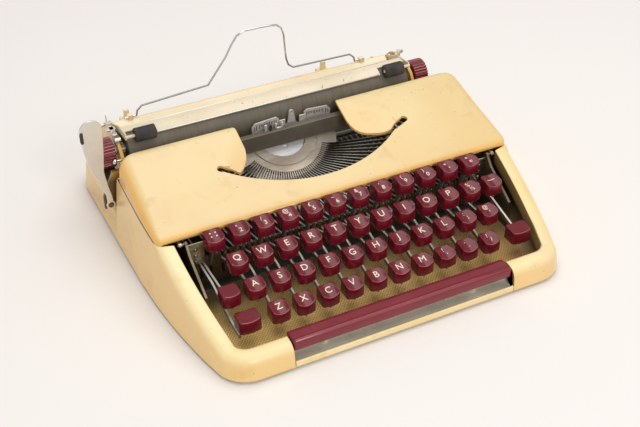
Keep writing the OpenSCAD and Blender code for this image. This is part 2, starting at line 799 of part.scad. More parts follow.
function lever_line(row) = let (z = row_top[row] - cap_h - lever_h / 2) concat(
    [[row_y[row] - 4, z], [row_y[row] + (row < 2 ? 3 : cap_d / 2 + 1.5), z]],
    row < 2 ? [] : [[lip_y - 20, row == 2 ? 25.5 : 24.5]],
    [[comb_y, comb_lever_z], [0, 14], [40, 11.5], [fulcrum_y, fulcrum_z]]
);

module lever_blank(row, x) {
    plate_x(x - lever_t / 2, x + lever_t / 2) polygon(band(lever_line(row), lever_h));
    rod_x(x - lever_t / 2, x + lever_t / 2, fulcrum_y, fulcrum_z, boss_r);
}

module fulcrum_bore(x) {
    rod_x(x - lever_t, x + lever_t, fulcrum_y, fulcrum_z, fulcrum_r + run_gap);
}

module key_lever(row, x) {
    difference() {
        lever_blank(row, x);
        fulcrum_bore(x);
    }
}

module number_row_caps() {
    color([0.38, 0.08, 0.09])
    place() for (i = [1:row_last[0]]) letter_cap(0, i);
}

module number_row_levers() {
    color([0.78, 0.78, 0.76])
    place() for (i = [1:row_last[0]]) key_lever(0, key_x(0, i));
}

module top_row_caps() {
    color([0.38, 0.08, 0.09])
    place() for (i = [1:row_last[1]]) letter_cap(1, i);
}

module top_row_levers() {
    color([0.78, 0.78, 0.76])
    place() for (i = [1:row_last[1]]) key_lever(1, key_x(1, i));
}

module home_row_caps() {
    color([0.38, 0.08, 0.09])
    place() for (i = [1:row_last[2]]) letter_cap(2, i);
}

module home_row_levers() {
    color([0.78, 0.78, 0.76])
    place() for (i = [1:row_last[2]]) key_lever(2, key_x(2, i));
}

module bottom_row_caps() {
    color([0.38, 0.08, 0.09])
    place() for (i = [1:row_last[3]]) letter_cap(3, i);
}

module bottom_row_levers() {
    color([0.78, 0.78, 0.76])
    place() for (i = [1:row_last[3]]) key_lever(3, key_x(3, i));
}

module shift_caps() {
    color([0.38, 0.08, 0.09])
    place() for (x = shift_x) key_cap(3, x, shift_cap_w, flat_dish, 2 * flat_dish);
}

module shift_yoke() {
    bar_r = 2.5;
    color([0.70, 0.70, 0.70])
    place() difference() {
        union() {
            for (x = shift_lever_x) {
                lever_blank(3, x);
                plate_x(x - lever_t / 2, x + lever_t / 2)
                    polygon(band([[fulcrum_y, fulcrum_z], [yoke_y, fulcrum_z]], 2 * bar_r));
            }
            rod_x(shift_lever_x[0], shift_lever_x[1], yoke_y, fulcrum_z, bar_r);
        }
        for (x = shift_lever_x) fulcrum_bore(x);
    }
}

module shift_lock_cap() {
    color([0.38, 0.08, 0.09])
    place() key_cap(2, key_x(2, 0), cap_w, flat_dish, 2 * flat_dish);
}

module shift_lock_lever() {
    color([0.78, 0.78, 0.76])
    place() key_lever(2, key_x(2, 0));
}

module backspace_cap() {
    color([0.38, 0.08, 0.09])
    place() letter_cap(1, 12);
}

module backspace_lever() {
    color([0.78, 0.78, 0.76])
    place() key_lever(1, key_x(1, 12));
}

module margin_release_cap() {
    color([0.38, 0.08, 0.09])
    place() letter_cap(0, 0);
}

module margin_release_lever() {
    color([0.78, 0.78, 0.76])
    place() key_lever(0, key_x(0, 0));
}

module space_bar() {
    color([0.38, 0.08, 0.09])
    place() translate([0, bar_y, 0]) difference() {
        along_x(bar_len) polygon([
            [-bar_d / 2, bar_bottom_z], [-bar_d / 2, bar_top_z - 2], [1.4 - bar_d / 2, bar_top_z - 0.3],
            [2.4 - bar_d / 2, bar_top_z], [4 - bar_d / 2, bar_top_z - 0.5], [bar_d / 2 - 1, bar_top_z - 1],
            [bar_d / 2, bar_top_z - 2], [bar_d / 2, bar_bottom_z]
        ]);
        along_x(bar_len - 2 * bar_wall) polygon([
            [bar_wall - bar_d / 2, bar_bottom_z - past], [bar_wall - bar_d / 2, roof_z],
            [bar_d / 2 - bar_wall, roof_z], [bar_d / 2 - bar_wall, bar_bottom_z - past]
        ]);
    }
}

module space_bar_stems() {
    color([0.70, 0.70, 0.70])
    place() for (s = [-1, 1]) translate([s * stem_x, stem_y, stem_end_z])
        cylinder(h = roof_z - stem_end_z, r = stem_r);
}

// Carriage, drawn about its own middle

module carriage_bed() {
    color([0.36, 0.37, 0.38])
    on_carriage() {
        translate([-end_plate_x, 84, bed_z]) cube([2 * end_plate_x, 28, bed_t]);
        translate([-60, rail_y - runner_w / 2, bed_z - 6]) cube([120, runner_w, 7]);
    }
}

module carriage_rack() {
    first = pinion_x - carriage_x - (floor(95 / space_step) + 0.5) * space_step;
    teeth = floor((end_plate_x - 1 - first) / space_step);
    last = first + (teeth - 1) * space_step + 1.2;
    color([0.66, 0.67, 0.68])
    on_carriage() plate_y(rack_y - rack_w / 2, rack_y + rack_w / 2) polygon(concat(
        [for (i = [0:teeth - 1], q = [[-0.6, 1.3], [-0.3, -0.6], [0.3, -0.6], [0.6, 1.3]])
            [first + i * space_step + q[0], pitch_z + q[1]]],
        [[last, pitch_z + 1.3], [last, bed_z], [first - 1.2, bed_z], [first - 1.2, pitch_z + 1.3]]
    ));
}

function feed_axis(turn) =
    [platen_y, platen_z] + (platen_r + feed_r + paper_gap) * [cos(turn), sin(turn)];
front_feed = feed_axis(262);
rear_feed = feed_axis(310);

module end_plate(x0, x1) {
    difference() {
        plate_x(x0, x1) polygon([
            [49, 60], [53, 50.5], [57, 47.2], [64, 47.2], [67, 49], [82, 49], [86, bed_z], [121, bed_z],
            [121, 59], [112, 61], [104, 65], [95, 74], [89, 80], [83, 82.5], [68, 82.5], [60, 81],
            [54, 77], [49, 70]
        ]);
        rod_x(x0 - past, x1 + past, platen_y, platen_z, shaft_r + run_gap);
        for (p = [front_feed, rear_feed]) rod_x(x0 - past, x1 + past, p[0], p[1], pin_r + run_gap);
    }
}

module left_end_plate() {
    x = lever_pivot_x - carriage_x;
    bracket_y = lever_y + lever_blade_t + 0.8;
    color([0.50, 0.51, 0.51])
    on_carriage() {
        end_plate(-plate_out, -end_plate_x);
        rod_x(-end_plate_x - past, -platen_half - 0.2, bail_pivot_y, bail_pivot_z, pin_r);
        plate_y(bracket_y, bracket_y + 2) polygon([
            [-plate_out, 54], [-plate_out, 61], [x + 4, 61], [x - 4.5, 42],
            [x - 4.5, 31], [x + 4.5, 31], [x + 6, 54]
        ]);
        translate([x + 5, bracket_y, 55]) cube([-plate_out - x - 5, 6, 5]);
        rod_y(lever_y - 0.6, bracket_y + past, x, lever_pivot_z, 2);
    }
}

module right_end_plate() {
    color([0.50, 0.51, 0.51])
    on_carriage() {
        end_plate(end_plate_x, plate_out);
        rod_x(platen_half + 0.2, end_plate_x + past, bail_pivot_y, bail_pivot_z, pin_r);
        rod_x(platen_half + 1.9, end_plate_x + past, release_y, release_z, pin_r);
    }
}

lug_x = [14 - platen_half, platen_half - 23];

module paper_table() {
    half = platen_half - 0.5;
    table_y = 96;
    table_line = [[81, 75], [87.5, 77.6], [91, 76.4], [93.6, 72], [table_y, 58], [table_y, bed_z + bed_t]];
    color([0.50, 0.51, 0.51])
    on_carriage() difference() {
        union() {
            along_x(2 * half) polygon(band(table_line, table_t));
            translate([-end_plate_x, table_y - table_t / 2, bed_z + bed_t])
                cube([2 * end_plate_x, table_t, 12]);
            for (x = lug_x) translate([x - 2, wire_y - 2, 77]) cube([4, 4, wire_z - 77 + 2]);
        }
        for (x = lug_x) rod_x(x - 3, x + 3, wire_y, wire_z, wire_r + run_gap);
    }
}

module feed_roller(axis) {
    rod_x(7 - platen_half, platen_half - 7, axis[0], axis[1], feed_r);
    rod_x(0.2 - plate_out, plate_out - 0.2, axis[0], axis[1], pin_r);
}

module front_feed_roller() {
    color([0.14, 0.14, 0.14])
    on_carriage() feed_roller(front_feed);
}

module rear_feed_roller() {
    color([0.14, 0.14, 0.14])
    on_carriage() feed_roller(rear_feed);
}

module margin_rail() {
    color([0.72, 0.73, 0.74])
    on_carriage() rod_x(-end_plate_x, end_plate_x, margin_rail_y, margin_rail_z, margin_rail_r);
}

module margin_stop(x) {
    difference() {
        union() {
            translate([x - 5, margin_rail_y - 4.5, margin_rail_z - 5]) cube([10, 9, 10]);
            translate([x - 2, margin_rail_y - 1.5, margin_rail_z + 4]) cube([4, 3, 9]);
        }
        rod_x(x - 6, x + 6, margin_rail_y, margin_rail_z, margin_rail_r + run_gap);
    }
}

module left_margin_stop() {
    color([0.66, 0.67, 0.68])
    on_carriage() margin_stop(19 - platen_half);
}

module right_margin_stop() {
    color([0.66, 0.67, 0.68])
    on_carriage() margin_stop(platen_half - 44);
}

module platen() {
    color([0.10, 0.10, 0.11])
    on_carriage() difference() {
        rod_x(-platen_half, platen_half, platen_y, platen_z, platen_r);
        rod_x(-platen_half - past, platen_half + past, platen_y, platen_z, shaft_r + seat_gap);
    }
}

knob_x = plate_out + 2.5;

module platen_shaft() {
    color([0.72, 0.73, 0.74])
    on_carriage() rod_x(1 - knob_x - knob_len, knob_x + knob_len - 1, platen_y, platen_z, shaft_r);
}

module platen_knobs() {
    rib_w = 2 * PI * knob_r / knob_ribs;
    color([0.38, 0.08, 0.09])
    on_carriage() for (s = [0, 1]) mirror([s, 0, 0]) translate([0, platen_y, platen_z]) difference() {
        union() {
            plate_x(knob_x, knob_x + knob_len)
                polygon(toothed(knob_ribs, knob_r - 0.8, knob_r, 0.75 * rib_w, 0.45 * rib_w));
            rod_x(knob_x - 1, knob_x, 0, 0, knob_r - 5);
        }
        rod_x(knob_x - 2, knob_x + knob_len - 1, 0, 0, shaft_r + seat_gap);
    }
}

module line_ratchet() {
    color([0.66, 0.67, 0.68])
    on_carriage() translate([-platen_half - 3, 0, 0]) difference() {
        translate([0, platen_y, platen_z]) along_x(2) polygon(toothed(32, 9, 10.6, 1.5, 0.5));
        rod_x(-3, 3, platen_y, platen_z, shaft_r + seat_gap);
    }
}

module return_lever() {
    color([0.84, 0.85, 0.86])
    place() difference() {
        union() {
            plate_y(lever_y, lever_y + lever_blade_t) polygon([
                [lever_pivot_x - 2.6, lever_pivot_z], [lever_pivot_x + 2.6, lever_pivot_z],
                [lever_pivot_x + 1.4, 44], [lever_pivot_x - 0.6, 54], [lever_pivot_x - 2, 66],
                [paddle_x + paddle_r - 1.2, 84], [paddle_x + paddle_r, lever_top_z],
                [paddle_x - paddle_r, lever_top_z], [paddle_x - paddle_r + 0.8, 90],
                [paddle_x - paddle_r + 2.4, 78], [lever_pivot_x - 10.5, 66], [lever_pivot_x - 6, 54],
                [lever_pivot_x - 2.8, 44]
            ]);
            rod_y(lever_y, lever_y + lever_blade_t, lever_pivot_x, lever_pivot_z, 3.6);
            rod_y(lever_y, lever_y + lever_blade_t, paddle_x, lever_top_z, paddle_r);
        }
        rod_y(lever_y - past, lever_y + lever_blade_t + past, lever_pivot_x, lever_pivot_z, 2 + run_gap);
    }
}

// Part of a round sheet about the platen, between two directions.
module platen_sheet(half, r0, r1, a0, a1) {
    translate([-half, platen_y, platen_z]) rotate([90, 0, 90]) rotate(a0)
        rotate_extrude(angle = a1 - a0) translate([r0, 0]) square([r1 - r0, 2 * half]);
}

module bail_arm() {
    x0 = platen_half + 0.5;
    x1 = x0 + 1.2;
    difference() {
        union() {
            plate_x(x0, x1) polygon(band(
                [[bail_pivot_y, bail_pivot_z], [67, 85.2], [bail_roller_y, bail_roller_z]], 5));
            rod_x(x0, x1, bail_pivot_y, bail_pivot_z, 3.5);
            rod_x(bail_roller_x - bail_roller_len / 2, x1, bail_roller_y, bail_roller_z, bail_axle_r);
        }
        rod_x(x0 - past, x1 + past, bail_pivot_y, bail_pivot_z, pin_r + run_gap);
    }
}

module paper_bail() {
    r = platen_r + 0.5;
    color([0.90, 0.86, 0.72])
    on_carriage() {
        platen_sheet(platen_half + 1, r, r + 1.2, 82, 104);
        platen_sheet(bail_roller_x - bail_roller_len / 2 - 2.5, r, r + 1.2, 82, 128);
        for (s = [0, 1]) mirror([s, 0, 0]) bail_arm();
    }
}

module bail_rollers() {
    color([0.13, 0.13, 0.13])
    on_carriage() for (s = [0, 1]) mirror([s, 0, 0]) difference() {
        rod_x(bail_roller_x - bail_roller_len / 2, bail_roller_x + bail_roller_len / 2,
            bail_roller_y, bail_roller_z, bail_r);
        rod_x(0, platen_half, bail_roller_y, bail_roller_z, bail_axle_r + run_gap);
    }
}

support_line = [
    [lug_x[0] + 5, wire_z], [lug_x[0] + 6, 84], [lug_x[0] + 10, 87.5], [-40, 91], [-24, 112],
    [-19, 121], [-14, 128], [-8, 131], [12, 130.6], [20, 129.5], [24, 126], [25.8, 120],
    [27.6, 98], [29.5, 92], [33.7, 88.5], [lug_x[1] - 11, 87.5], [lug_x[1] - 7, 84],
    [lug_x[1] - 6, wire_z]
];

module paper_support() {
    journal = 9;
    last = len(support_line) - 1;
    sides = band_side(support_line, 2 * wire_r);
    color([0.84, 0.85, 0.86])
    on_carriage() translate([0, wire_y, 0]) {
        skin([for (i = [0:last]) [for (t = [0:30:330]) let (
                p = support_line[i],
                o = (sides[i] - p) * cos(t)
            ) [p[0] + o[0], -wire_r * sin(t), p[1] + o[1]]]]);
        rod_x(support_line[0][0] - journal, support_line[0][0] + 0.6, 0, wire_z, wire_r);
        rod_x(support_line[last][0] - 0.6, support_line[last][0] + journal, 0, wire_z, wire_r);
    }
}

module paper_release_lever() {
    x0 = platen_half + 2.3;
    x1 = x0 + 1.4;
    color([0.84, 0.85, 0.86])
    on_carriage() difference() {
        union() {
            plate_x(x0, x1) polygon(band([[release_y, release_z], [75.5, 79], [72, 88]], 5));
            rod_x(x0, x1, release_y, release_z, 4);
            rod_x(x0, x1, 72, 88, 2.5);
        }
        rod_x(x0 - past, x1 + past, release_y, release_z, pin_r + run_gap);
    }
}

base_pan();
lower_casing();
front_strip();
rubber_feet();
keyboard_mat();
left_side_plate();
right_side_plate();
lever_fulcrum_rod();
key_comb();
type_segment();
segment_plate();
typebars();
front_rail();
type_guide();
line_gauges();
ribbon_vibrator();
ribbon_cups();
carriage_rail();
escapement_pinion();
ribbon_cover();
cover_hinges();
left_ribbon_spool();
right_ribbon_spool();
number_row_caps();
number_row_levers();
top_row_caps();
top_row_levers();
home_row_caps();
home_row_levers();
bottom_row_caps();
bottom_row_levers();
shift_caps();
shift_yoke();
shift_lock_cap();
shift_lock_lever();
backspace_cap();
backspace_lever();
margin_release_cap();
margin_release_lever();
space_bar();
space_bar_stems();
carriage_bed();
carriage_rack();
left_end_plate();
right_end_plate();
paper_table();
front_feed_roller();
rear_feed_roller();
margin_rail();
left_margin_stop();
right_margin_stop();
platen();
platen_shaft();
platen_knobs();
line_ratchet();
return_lever();
paper_bail();
bail_rollers();
paper_support();
paper_release_lever();
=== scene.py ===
import json
import math

import bmesh
import bpy
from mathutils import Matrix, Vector


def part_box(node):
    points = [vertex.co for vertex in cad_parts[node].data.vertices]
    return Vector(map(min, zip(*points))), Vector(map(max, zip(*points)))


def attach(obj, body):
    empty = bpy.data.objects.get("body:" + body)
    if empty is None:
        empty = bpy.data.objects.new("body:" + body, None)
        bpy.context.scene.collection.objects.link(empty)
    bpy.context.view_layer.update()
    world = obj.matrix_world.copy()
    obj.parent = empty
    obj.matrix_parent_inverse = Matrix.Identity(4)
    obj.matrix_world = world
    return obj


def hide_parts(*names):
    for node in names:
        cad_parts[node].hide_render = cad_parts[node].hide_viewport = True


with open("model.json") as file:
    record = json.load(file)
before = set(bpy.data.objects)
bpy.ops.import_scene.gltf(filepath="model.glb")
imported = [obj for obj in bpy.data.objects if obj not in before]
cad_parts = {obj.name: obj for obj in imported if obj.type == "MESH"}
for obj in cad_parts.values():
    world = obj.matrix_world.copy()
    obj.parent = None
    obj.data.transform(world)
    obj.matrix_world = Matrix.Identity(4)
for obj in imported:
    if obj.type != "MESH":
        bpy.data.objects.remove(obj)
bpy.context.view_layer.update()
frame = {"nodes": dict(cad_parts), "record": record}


# Studio: the machine stands on a plain pale table under soft light from above.
# One broad lamp hangs above on the right, a weaker one fills from the front.
# The camera stands to the left of the typist and looks down on the keys.
scene = bpy.context.scene
scene.view_settings.view_transform = "Standard"


def set_down(name, data):
    thing = bpy.data.objects.new(name, data)
    scene.collection.objects.link(thing)
    return thing


def aim(thing, place, target):
    thing.location = place
    thing.rotation_euler = (Vector(target) - Vector(place)).to_track_quat("-Z", "Y").to_euler()


camera_data = bpy.data.cameras.new("camera")
camera_data.sensor_width = 36
camera_data.lens = 63.1
camera = set_down("camera", camera_data)
scene.camera = camera
aim(camera, (-0.3067, -0.6335, 0.5396), (-0.0227, -0.0639, 0.060))

for lamp_name, lamp_place, lamp_size, power in (
    ("sky_lamp", (0.18, 0.05, 1.4), 1.6, 11.2),
    ("front_lamp", (-0.05, -1.35, 1.0), 0.45, 5.6),
):
    lamp_data = bpy.data.lights.new(lamp_name, "AREA")
    lamp_data.shape = "DISK"
    lamp_data.size = lamp_size
    lamp_data.energy = power
    aim(set_down(lamp_name, lamp_data), lamp_place, (0.0, 0.0, 0.05))

studio_air = bpy.data.worlds.new("studio_air")
scene.world = studio_air
studio_air.use_nodes = True
glow = studio_air.node_tree.nodes["Background"]
glow.inputs["Color"].default_value = (1.0, 0.975, 0.95, 1)
glow.inputs["Strength"].default_value = 0.52


def add_node(tree, kind, values=None, **settings):
    node = tree.nodes.new("ShaderNode" + kind)
    for key, value in settings.items():
        setattr(node, key, value)
    for key, value in (values or {}).items():
        node.inputs[key].default_value = value
    return node


def wire(tree, *runs):
    """Links between nodes, each given as a node, its output, the next node and its input."""
    for source, output, target, into in runs:
        tree.links.new(source.outputs[output], target.inputs[into])


def seen(red, green, blue):
    """Colour as a screen shows it, 0 to 255, turned into the light values that the shader takes."""
    return tuple(((v / 255 + 0.055) / 1.055) ** 2.4 if v > 10 else v / 3294.6 for v in (red, green, blue))


def lay_over(tree, mask, under, over):
    """Colour over a colour by a mask. Each colour is a socket or three values as a screen shows them."""
    mix = add_node(tree, "Mix", data_type="RGBA")
    tree.links.new(mask, mix.inputs[0])
    for socket, value in ((mix.inputs[6], under), (mix.inputs[7], over)):
        if isinstance(value, tuple):
            socket.default_value = (*seen(*value), 1)
        else:
            tree.links.new(value, socket)
    return mix.outputs[2]


def start_finish(name, **values):
    """Material with one Principled shader. Values that are even all over sit on the shader's own sockets."""
    finish = bpy.data.materials.new(name)
    finish.use_nodes = True
    shader = finish.node_tree.nodes["Principled BSDF"]
    for key, value in values.items():
        shader.inputs[key.replace("_", " ")].default_value = value
    return finish, finish.node_tree, shader


def start_effect(name, outputs, **inputs):
    """Node group of plain values, with the two nodes that stand for its inputs and outputs."""
    effect = bpy.data.node_groups.new(name, "ShaderNodeTree")
    for label, value in inputs.items():
        socket = effect.interface.new_socket(name=label, in_out="INPUT", socket_type="NodeSocketFloat")
        socket.default_value = value
    for label in outputs:
        effect.interface.new_socket(name=label, in_out="OUTPUT", socket_type="NodeSocketFloat")
    return effect, effect.nodes.new("NodeGroupInput"), effect.nodes.new("NodeGroupOutput")


# Patches: soft blotches in the piece's own space, for stains, fading, smears and specks alike.
patches, ends_in, ends_out = start_effect(
    "patches", ["Mask"], Scale=10.0, Detail=3.0, Low=0.4, High=0.6, Strength=1.0
)
spot = add_node(patches, "TexCoord")
cloud = add_node(patches, "TexNoise", {"Roughness": 0.55})
spread = add_node(patches, "MapRange")
weigh = add_node(patches, "Math", operation="MULTIPLY")
wire(
    patches,
    (spot, "Object", cloud, "Vector"),
    (ends_in, "Scale", cloud, "Scale"),
    (ends_in, "Detail", cloud, "Detail"),
    (cloud, "Fac", spread, "Value"),
    (ends_in, "Low", spread, "From Min"),
    (ends_in, "High", spread, "From Max"),
    (spread, "Result", weigh, 0),
    (ends_in, "Strength", weigh, 1),
    (weigh, "Value", ends_out, "Mask"),
)


def use_effect(tree, effect, **values):
    return add_node(tree, "Group", values, node_tree=effect)


def patch_mask(tree, scale, low, high, strength=1.0, detail=3.0):
    node = use_effect(tree, patches, Scale=scale, Low=low, High=high, Strength=strength, Detail=detail)
    return node.outputs["Mask"]


def set_colour(shader, colour):
    shader.id_data.links.new(colour, shader.inputs["Base Color"])


table_white, tree, shader = start_finish("table_white", Roughness=0.7)
set_colour(shader, lay_over(tree, patch_mask(tree, 1.5, 0.35, 0.65), (246, 242, 238), (243, 239, 235)))
table_mesh = bpy.data.meshes.new("table_top")
table_mesh.from_pydata([(-4, -4, 0), (4, -4, 0), (4, 4, 0), (-4, 4, 0)], [], [(0, 1, 2, 3)])
table_mesh.materials.append(table_white)
table_top = set_down("table_top", table_mesh)


# Base pan: the flat floor sheet of the machine, pressed steel in grey-green paint.
# Two short bosses are set into it for the stems of the space bar.
# Eraser crumbs and oil have stained it brown beside the mat. Behind the mat, under the cover and the mechanism, it
# carries painted shade, nearly black.
MM = 0.001
body_of = {name: body for body, names in frame["record"]["behaviour"]["bodies"].items() for name in names}


def finish_piece(name, mesh, finish, slot_name, body, *stands_for):
    piece = set_down(name, mesh)
    mesh.materials.append(finish)
    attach(piece, body)
    if stands_for:
        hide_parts(*stands_for)
    return piece


def form_to_mesh(form, name, turn):
    """Mesh of a form, shaded round except where its faces turn by more than an angle."""
    for face in form.faces:
        face.smooth = True
    for rim in form.edges:
        rim.smooth = len(rim.link_faces) == 2 and rim.calc_face_angle(0) < math.radians(turn)
    mesh = bpy.data.meshes.new(name)
    form.to_mesh(mesh)
    form.free()
    return mesh


def dressed(node, finish, slot_name, edge=0.0, turn=32, steps=2, reshape=None):
    """Copy of a solid with welded faces, shaded round where it is round, and edges broken by a small radius."""
    form = bmesh.new()
    form.from_mesh(frame["nodes"][node].data)
    for vert in form.verts if reshape else ():
        vert.co = Vector(reshape(*(vert.co / MM))) * MM
    bmesh.ops.remove_doubles(form, verts=form.verts, dist=2e-6)
    bmesh.ops.dissolve_limit(form, angle_limit=math.radians(0.6), verts=form.verts, edges=form.edges)
    mesh = form_to_mesh(form, node + "_form", turn)
    piece = finish_piece(node + "_dressed", mesh, finish, slot_name, body_of[node], node)
    if edge:
        broken = piece.modifiers.new("broken_edge", "BEVEL")
        broken.width = edge * MM
        broken.segments = steps
        broken.limit_method = "ANGLE"
        broken.angle_limit = math.radians(turn)
        broken.harden_normals = True


def add_span(tree, node, output, start, end, strength=1.0):
    """Value that runs from 0 to its strength as a node's output runs from start to end."""
    span = add_node(tree, "MapRange", {"From Min": start, "From Max": end, "To Max": strength})
    wire(tree, (node, output, span, "Value"))
    return span


def place_mask(tree, axis, start, end, strength):
    """Mask that runs from 0 to its strength between two places along an axis, in millimetres of the row's frame."""
    spot = add_node(tree, "TexCoord")
    split = add_node(tree, "SeparateXYZ")
    wire(tree, (spot, "Object", split, "Vector"))
    return add_span(tree, split, axis, start * MM, end * MM, strength).outputs["Result"]


def stain(tree, colour, shade, *patch):
    """Patches of a shade over a colour: their scale, where they start and are full, strength and detail."""
    return lay_over(tree, patch_mask(tree, *patch), colour, shade)


def vary_roughness(shader, mask, smooth, rough):
    """Roughness that runs from smooth to rough as the mask runs from 0 to 1."""
    tree = shader.id_data
    span = add_node(tree, "MapRange", {"To Min": smooth, "To Max": rough})
    tree.links.new(mask, span.inputs["Value"])
    tree.links.new(span.outputs["Result"], shader.inputs["Roughness"])


def raise_bumps(shader, height, distance):
    tree = shader.id_data
    bump = add_node(tree, "Bump", {"Distance": distance, "Strength": 1.0})
    tree.links.new(height, bump.inputs["Height"])
    tree.links.new(bump.outputs["Normal"], shader.inputs["Normal"])


def grain(shader, scale, height, detail=3.0):
    """Fine grain all over a surface."""
    raise_bumps(shader, patch_mask(shader.id_data, scale, 0.3, 0.7, 1.0, detail), height)


MAT_RIGHT, MAT_BACK = 127, -49
pan_paint, tree, shader = start_finish("pan_paint", Roughness=0.5)
grime = patch_mask(tree, 38, 0.45, 0.72, 0.5)
toned = lay_over(tree, patch_mask(tree, 12, 0.35, 0.65), (236, 234, 212), (218, 216, 192))
toned = lay_over(tree, grime, toned, (176, 166, 134))
toned = lay_over(tree, place_mask(tree, "X", MAT_RIGHT, MAT_RIGHT + 3, 0.9), toned, (150, 118, 62))
# Painted shade: nearly black behind the mat's back edge, under the cover and the mechanism.
toned = lay_over(tree, place_mask(tree, "Y", MAT_BACK, MAT_BACK + 6, 0.96), toned, (52, 44, 31))
toned = stain(tree, toned, (62, 56, 44), 520, 0.66, 0.72, 0.8)
set_colour(shader, toned)
vary_roughness(shader, grime, 0.38, 0.7)
grain(shader, 900, 0.00004)
dressed("base_pan", pan_paint, "pan_paint", 0.3)


# Lower casing: one deep-drawn shell, sprayed cream over primer and stoved.
# It is low round the keys, climbs along both sides to the seam, and is low again behind.
# The paint has turned ochre along the edges, with specks and a few chips. Faces turning away from straight up carry a
# painted ochre shade, and the insides of the walls carry painted shade, dark brown.
UP = (0, 0, 1)
edge_wear, ends_in, ends_out = start_effect("edge_wear", ["Mask"], Radius=0.002, Strength=1.0)
true_face = add_node(edge_wear, "NewGeometry")
eased_face = add_node(edge_wear, "Bevel", samples=4)
turned = add_node(edge_wear, "VectorMath", operation="DOT_PRODUCT")
sharp = add_span(edge_wear, turned, "Value", 0.985, 0.86)
wear_and_highlight = add_node(edge_wear, "Math", operation="MULTIPLY")
wire(
    edge_wear,
    (ends_in, "Radius", eased_face, "Radius"),
    (true_face, "True Normal", turned, 0),
    (eased_face, "Normal", turned, 1),
    (sharp, "Result", wear_and_highlight, 0),
    (ends_in, "Strength", wear_and_highlight, 1),
    (wear_and_highlight, "Value", ends_out, "Mask"),
)


def facing_mask(tree, direction, start, end, strength):
    """Mask by how squarely a face turns towards a direction in the piece's own space."""
    facing = add_node(tree, "TexCoord")
    turned = add_node(tree, "VectorMath", {1: direction}, operation="DOT_PRODUCT")
    wire(tree, (facing, "Normal", turned, 0))
    return add_span(tree, turned, "Value", start, end, strength).outputs["Result"]


def cream_finish(name, paint, aged, stain_strength, side_shade_strength, side_shade_start=0.75, side_shade_end=0.25):
    finish, tree, shader = start_finish(name, Specular_IOR_Level=0.45)
    toned = stain(tree, paint, aged, 7, 0.36, 0.66)
    toned = stain(tree, toned, (226, 186, 160), 17, 0.56, 0.74, stain_strength)
    toned = stain(tree, toned, (196, 150, 84), 60, 0.60, 0.78, 0.35)
    toned = stain(tree, toned, (112, 80, 46), 330, 0.735, 0.76, 0.75, 2.0)
    # Painted shade: faces that turn away from straight up are laid over with ochre, more so the further they turn.
    turned_away_shade = facing_mask(tree, UP, side_shade_start, side_shade_end, side_shade_strength)
    toned = lay_over(tree, turned_away_shade, toned, (248, 188, 88))
    worn = use_effect(tree, edge_wear, Radius=0.0022, Strength=0.2)
    toned = lay_over(tree, worn.outputs["Mask"], toned, (205, 156, 82))
    set_colour(shader, toned)
    vary_roughness(shader, patch_mask(tree, 22, 0.35, 0.7), 0.17, 0.3)
    grain(shader, 1400, 0.00002, 1.0)
    return finish


def coat_over(finish, mask, shade):
    """Lays a shade over the colour that a finish has so far, by a mask in its tree."""
    tree = finish.node_tree
    shader = tree.nodes["Principled BSDF"]
    so_far = shader.inputs["Base Color"].links[0].from_socket
    set_colour(shader, lay_over(tree, mask, so_far, shade))


cream_paint = cream_finish("cream_paint", (252, 233, 182), (246, 218, 154), 0.3, 0.4)
tree = cream_paint.node_tree
# Painted shade: faces inside the walls, looking in towards the middle, are laid over with dark brown.
facing = add_node(tree, "NewGeometry")
spot = add_node(tree, "TexCoord")
level = add_node(tree, "VectorMath", {1: (1, 1, 0)}, operation="MULTIPLY")
inward = add_node(tree, "VectorMath", operation="DOT_PRODUCT")
wire(tree, (spot, "Object", level, 0), (level, "Vector", inward, 0), (facing, "Normal", inward, 1))
shaded = add_span(tree, inward, "Value", -0.02, -0.07, 0.8)
coat_over(cream_paint, shaded.outputs["Result"], (96, 74, 46))
dressed("lower_casing", cream_paint, "cream_paint", 0.0, 40)


# Front strip: the low wall in front of the space bar, a folded strip in the casing's cream paint.
# It is screwed to the pan between the two front corners, and lifts off to clean the keyboard.
strip_paint = cream_finish("strip_paint", (255, 238, 186), (252, 224, 160), 0.1, 0.1)
dressed("front_strip", strip_paint, "cream_paint", 0.3)


# Feet: four black rubber pads moulded round a screw, one under each corner of the pan.
# They have gone grey in places with dust from the table.
rubber, tree, shader = start_finish("rubber", Specular_IOR_Level=0.3)
dusty = patch_mask(tree, 90, 0.4, 0.7, 0.6)
set_colour(shader, lay_over(tree, dusty, (50, 47, 46), (86, 82, 78)))
vary_roughness(shader, dusty, 0.55, 0.85)
grain(shader, 2600, 0.00003)
dressed("rubber_feet", rubber, "rubber", 0.8)


# Keyboard mat: a woven cotton sheet under the keys, golden olive, laid on the pan to hush the machine.
# It is cut to fit round the stems of the space bar and has cockled a little with age.
# It is darker towards the right, and painted shade from the cover and the keys darkens it towards the back.
CUT_STEP, COCKLE, TOP_SIDE = 0.004, 0.00025, 0.0006
DARKENS_X, BACK_SHADE_Y = (45, 120), (-92, -58)
mat_low, mat_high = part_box("keyboard_mat")
mat_sheet = bpy.data.meshes.new("mat_weave")
weave = bmesh.new()
weave.from_mesh(frame["nodes"]["keyboard_mat"].data)
bmesh.ops.remove_doubles(weave, verts=weave.verts, dist=2e-6)
for axis, low, high in ((0, mat_low[0], mat_high[0]), (1, mat_low[1], mat_high[1])):
    for k in range(1, int((high - low) / CUT_STEP)):
        point, normal = Vector((0, 0, 0)), Vector((0, 0, 0))
        point[axis], normal[axis] = low + k * CUT_STEP, 1.0
        bmesh.ops.bisect_plane(
            weave, geom=weave.verts[:] + weave.edges[:] + weave.faces[:], plane_co=point, plane_no=normal, dist=1e-6
        )
for vert in weave.verts:
    if vert.co.z > mat_low[2] + TOP_SIDE:
        ripple = math.sin(vert.co.x * 95 + 1.3) * math.sin(vert.co.y * 130 + vert.co.x * 40)
        vert.co.z += COCKLE * (ripple - 1.0)
for face in weave.faces:
    face.smooth = True
weave.to_mesh(mat_sheet)
weave.free()

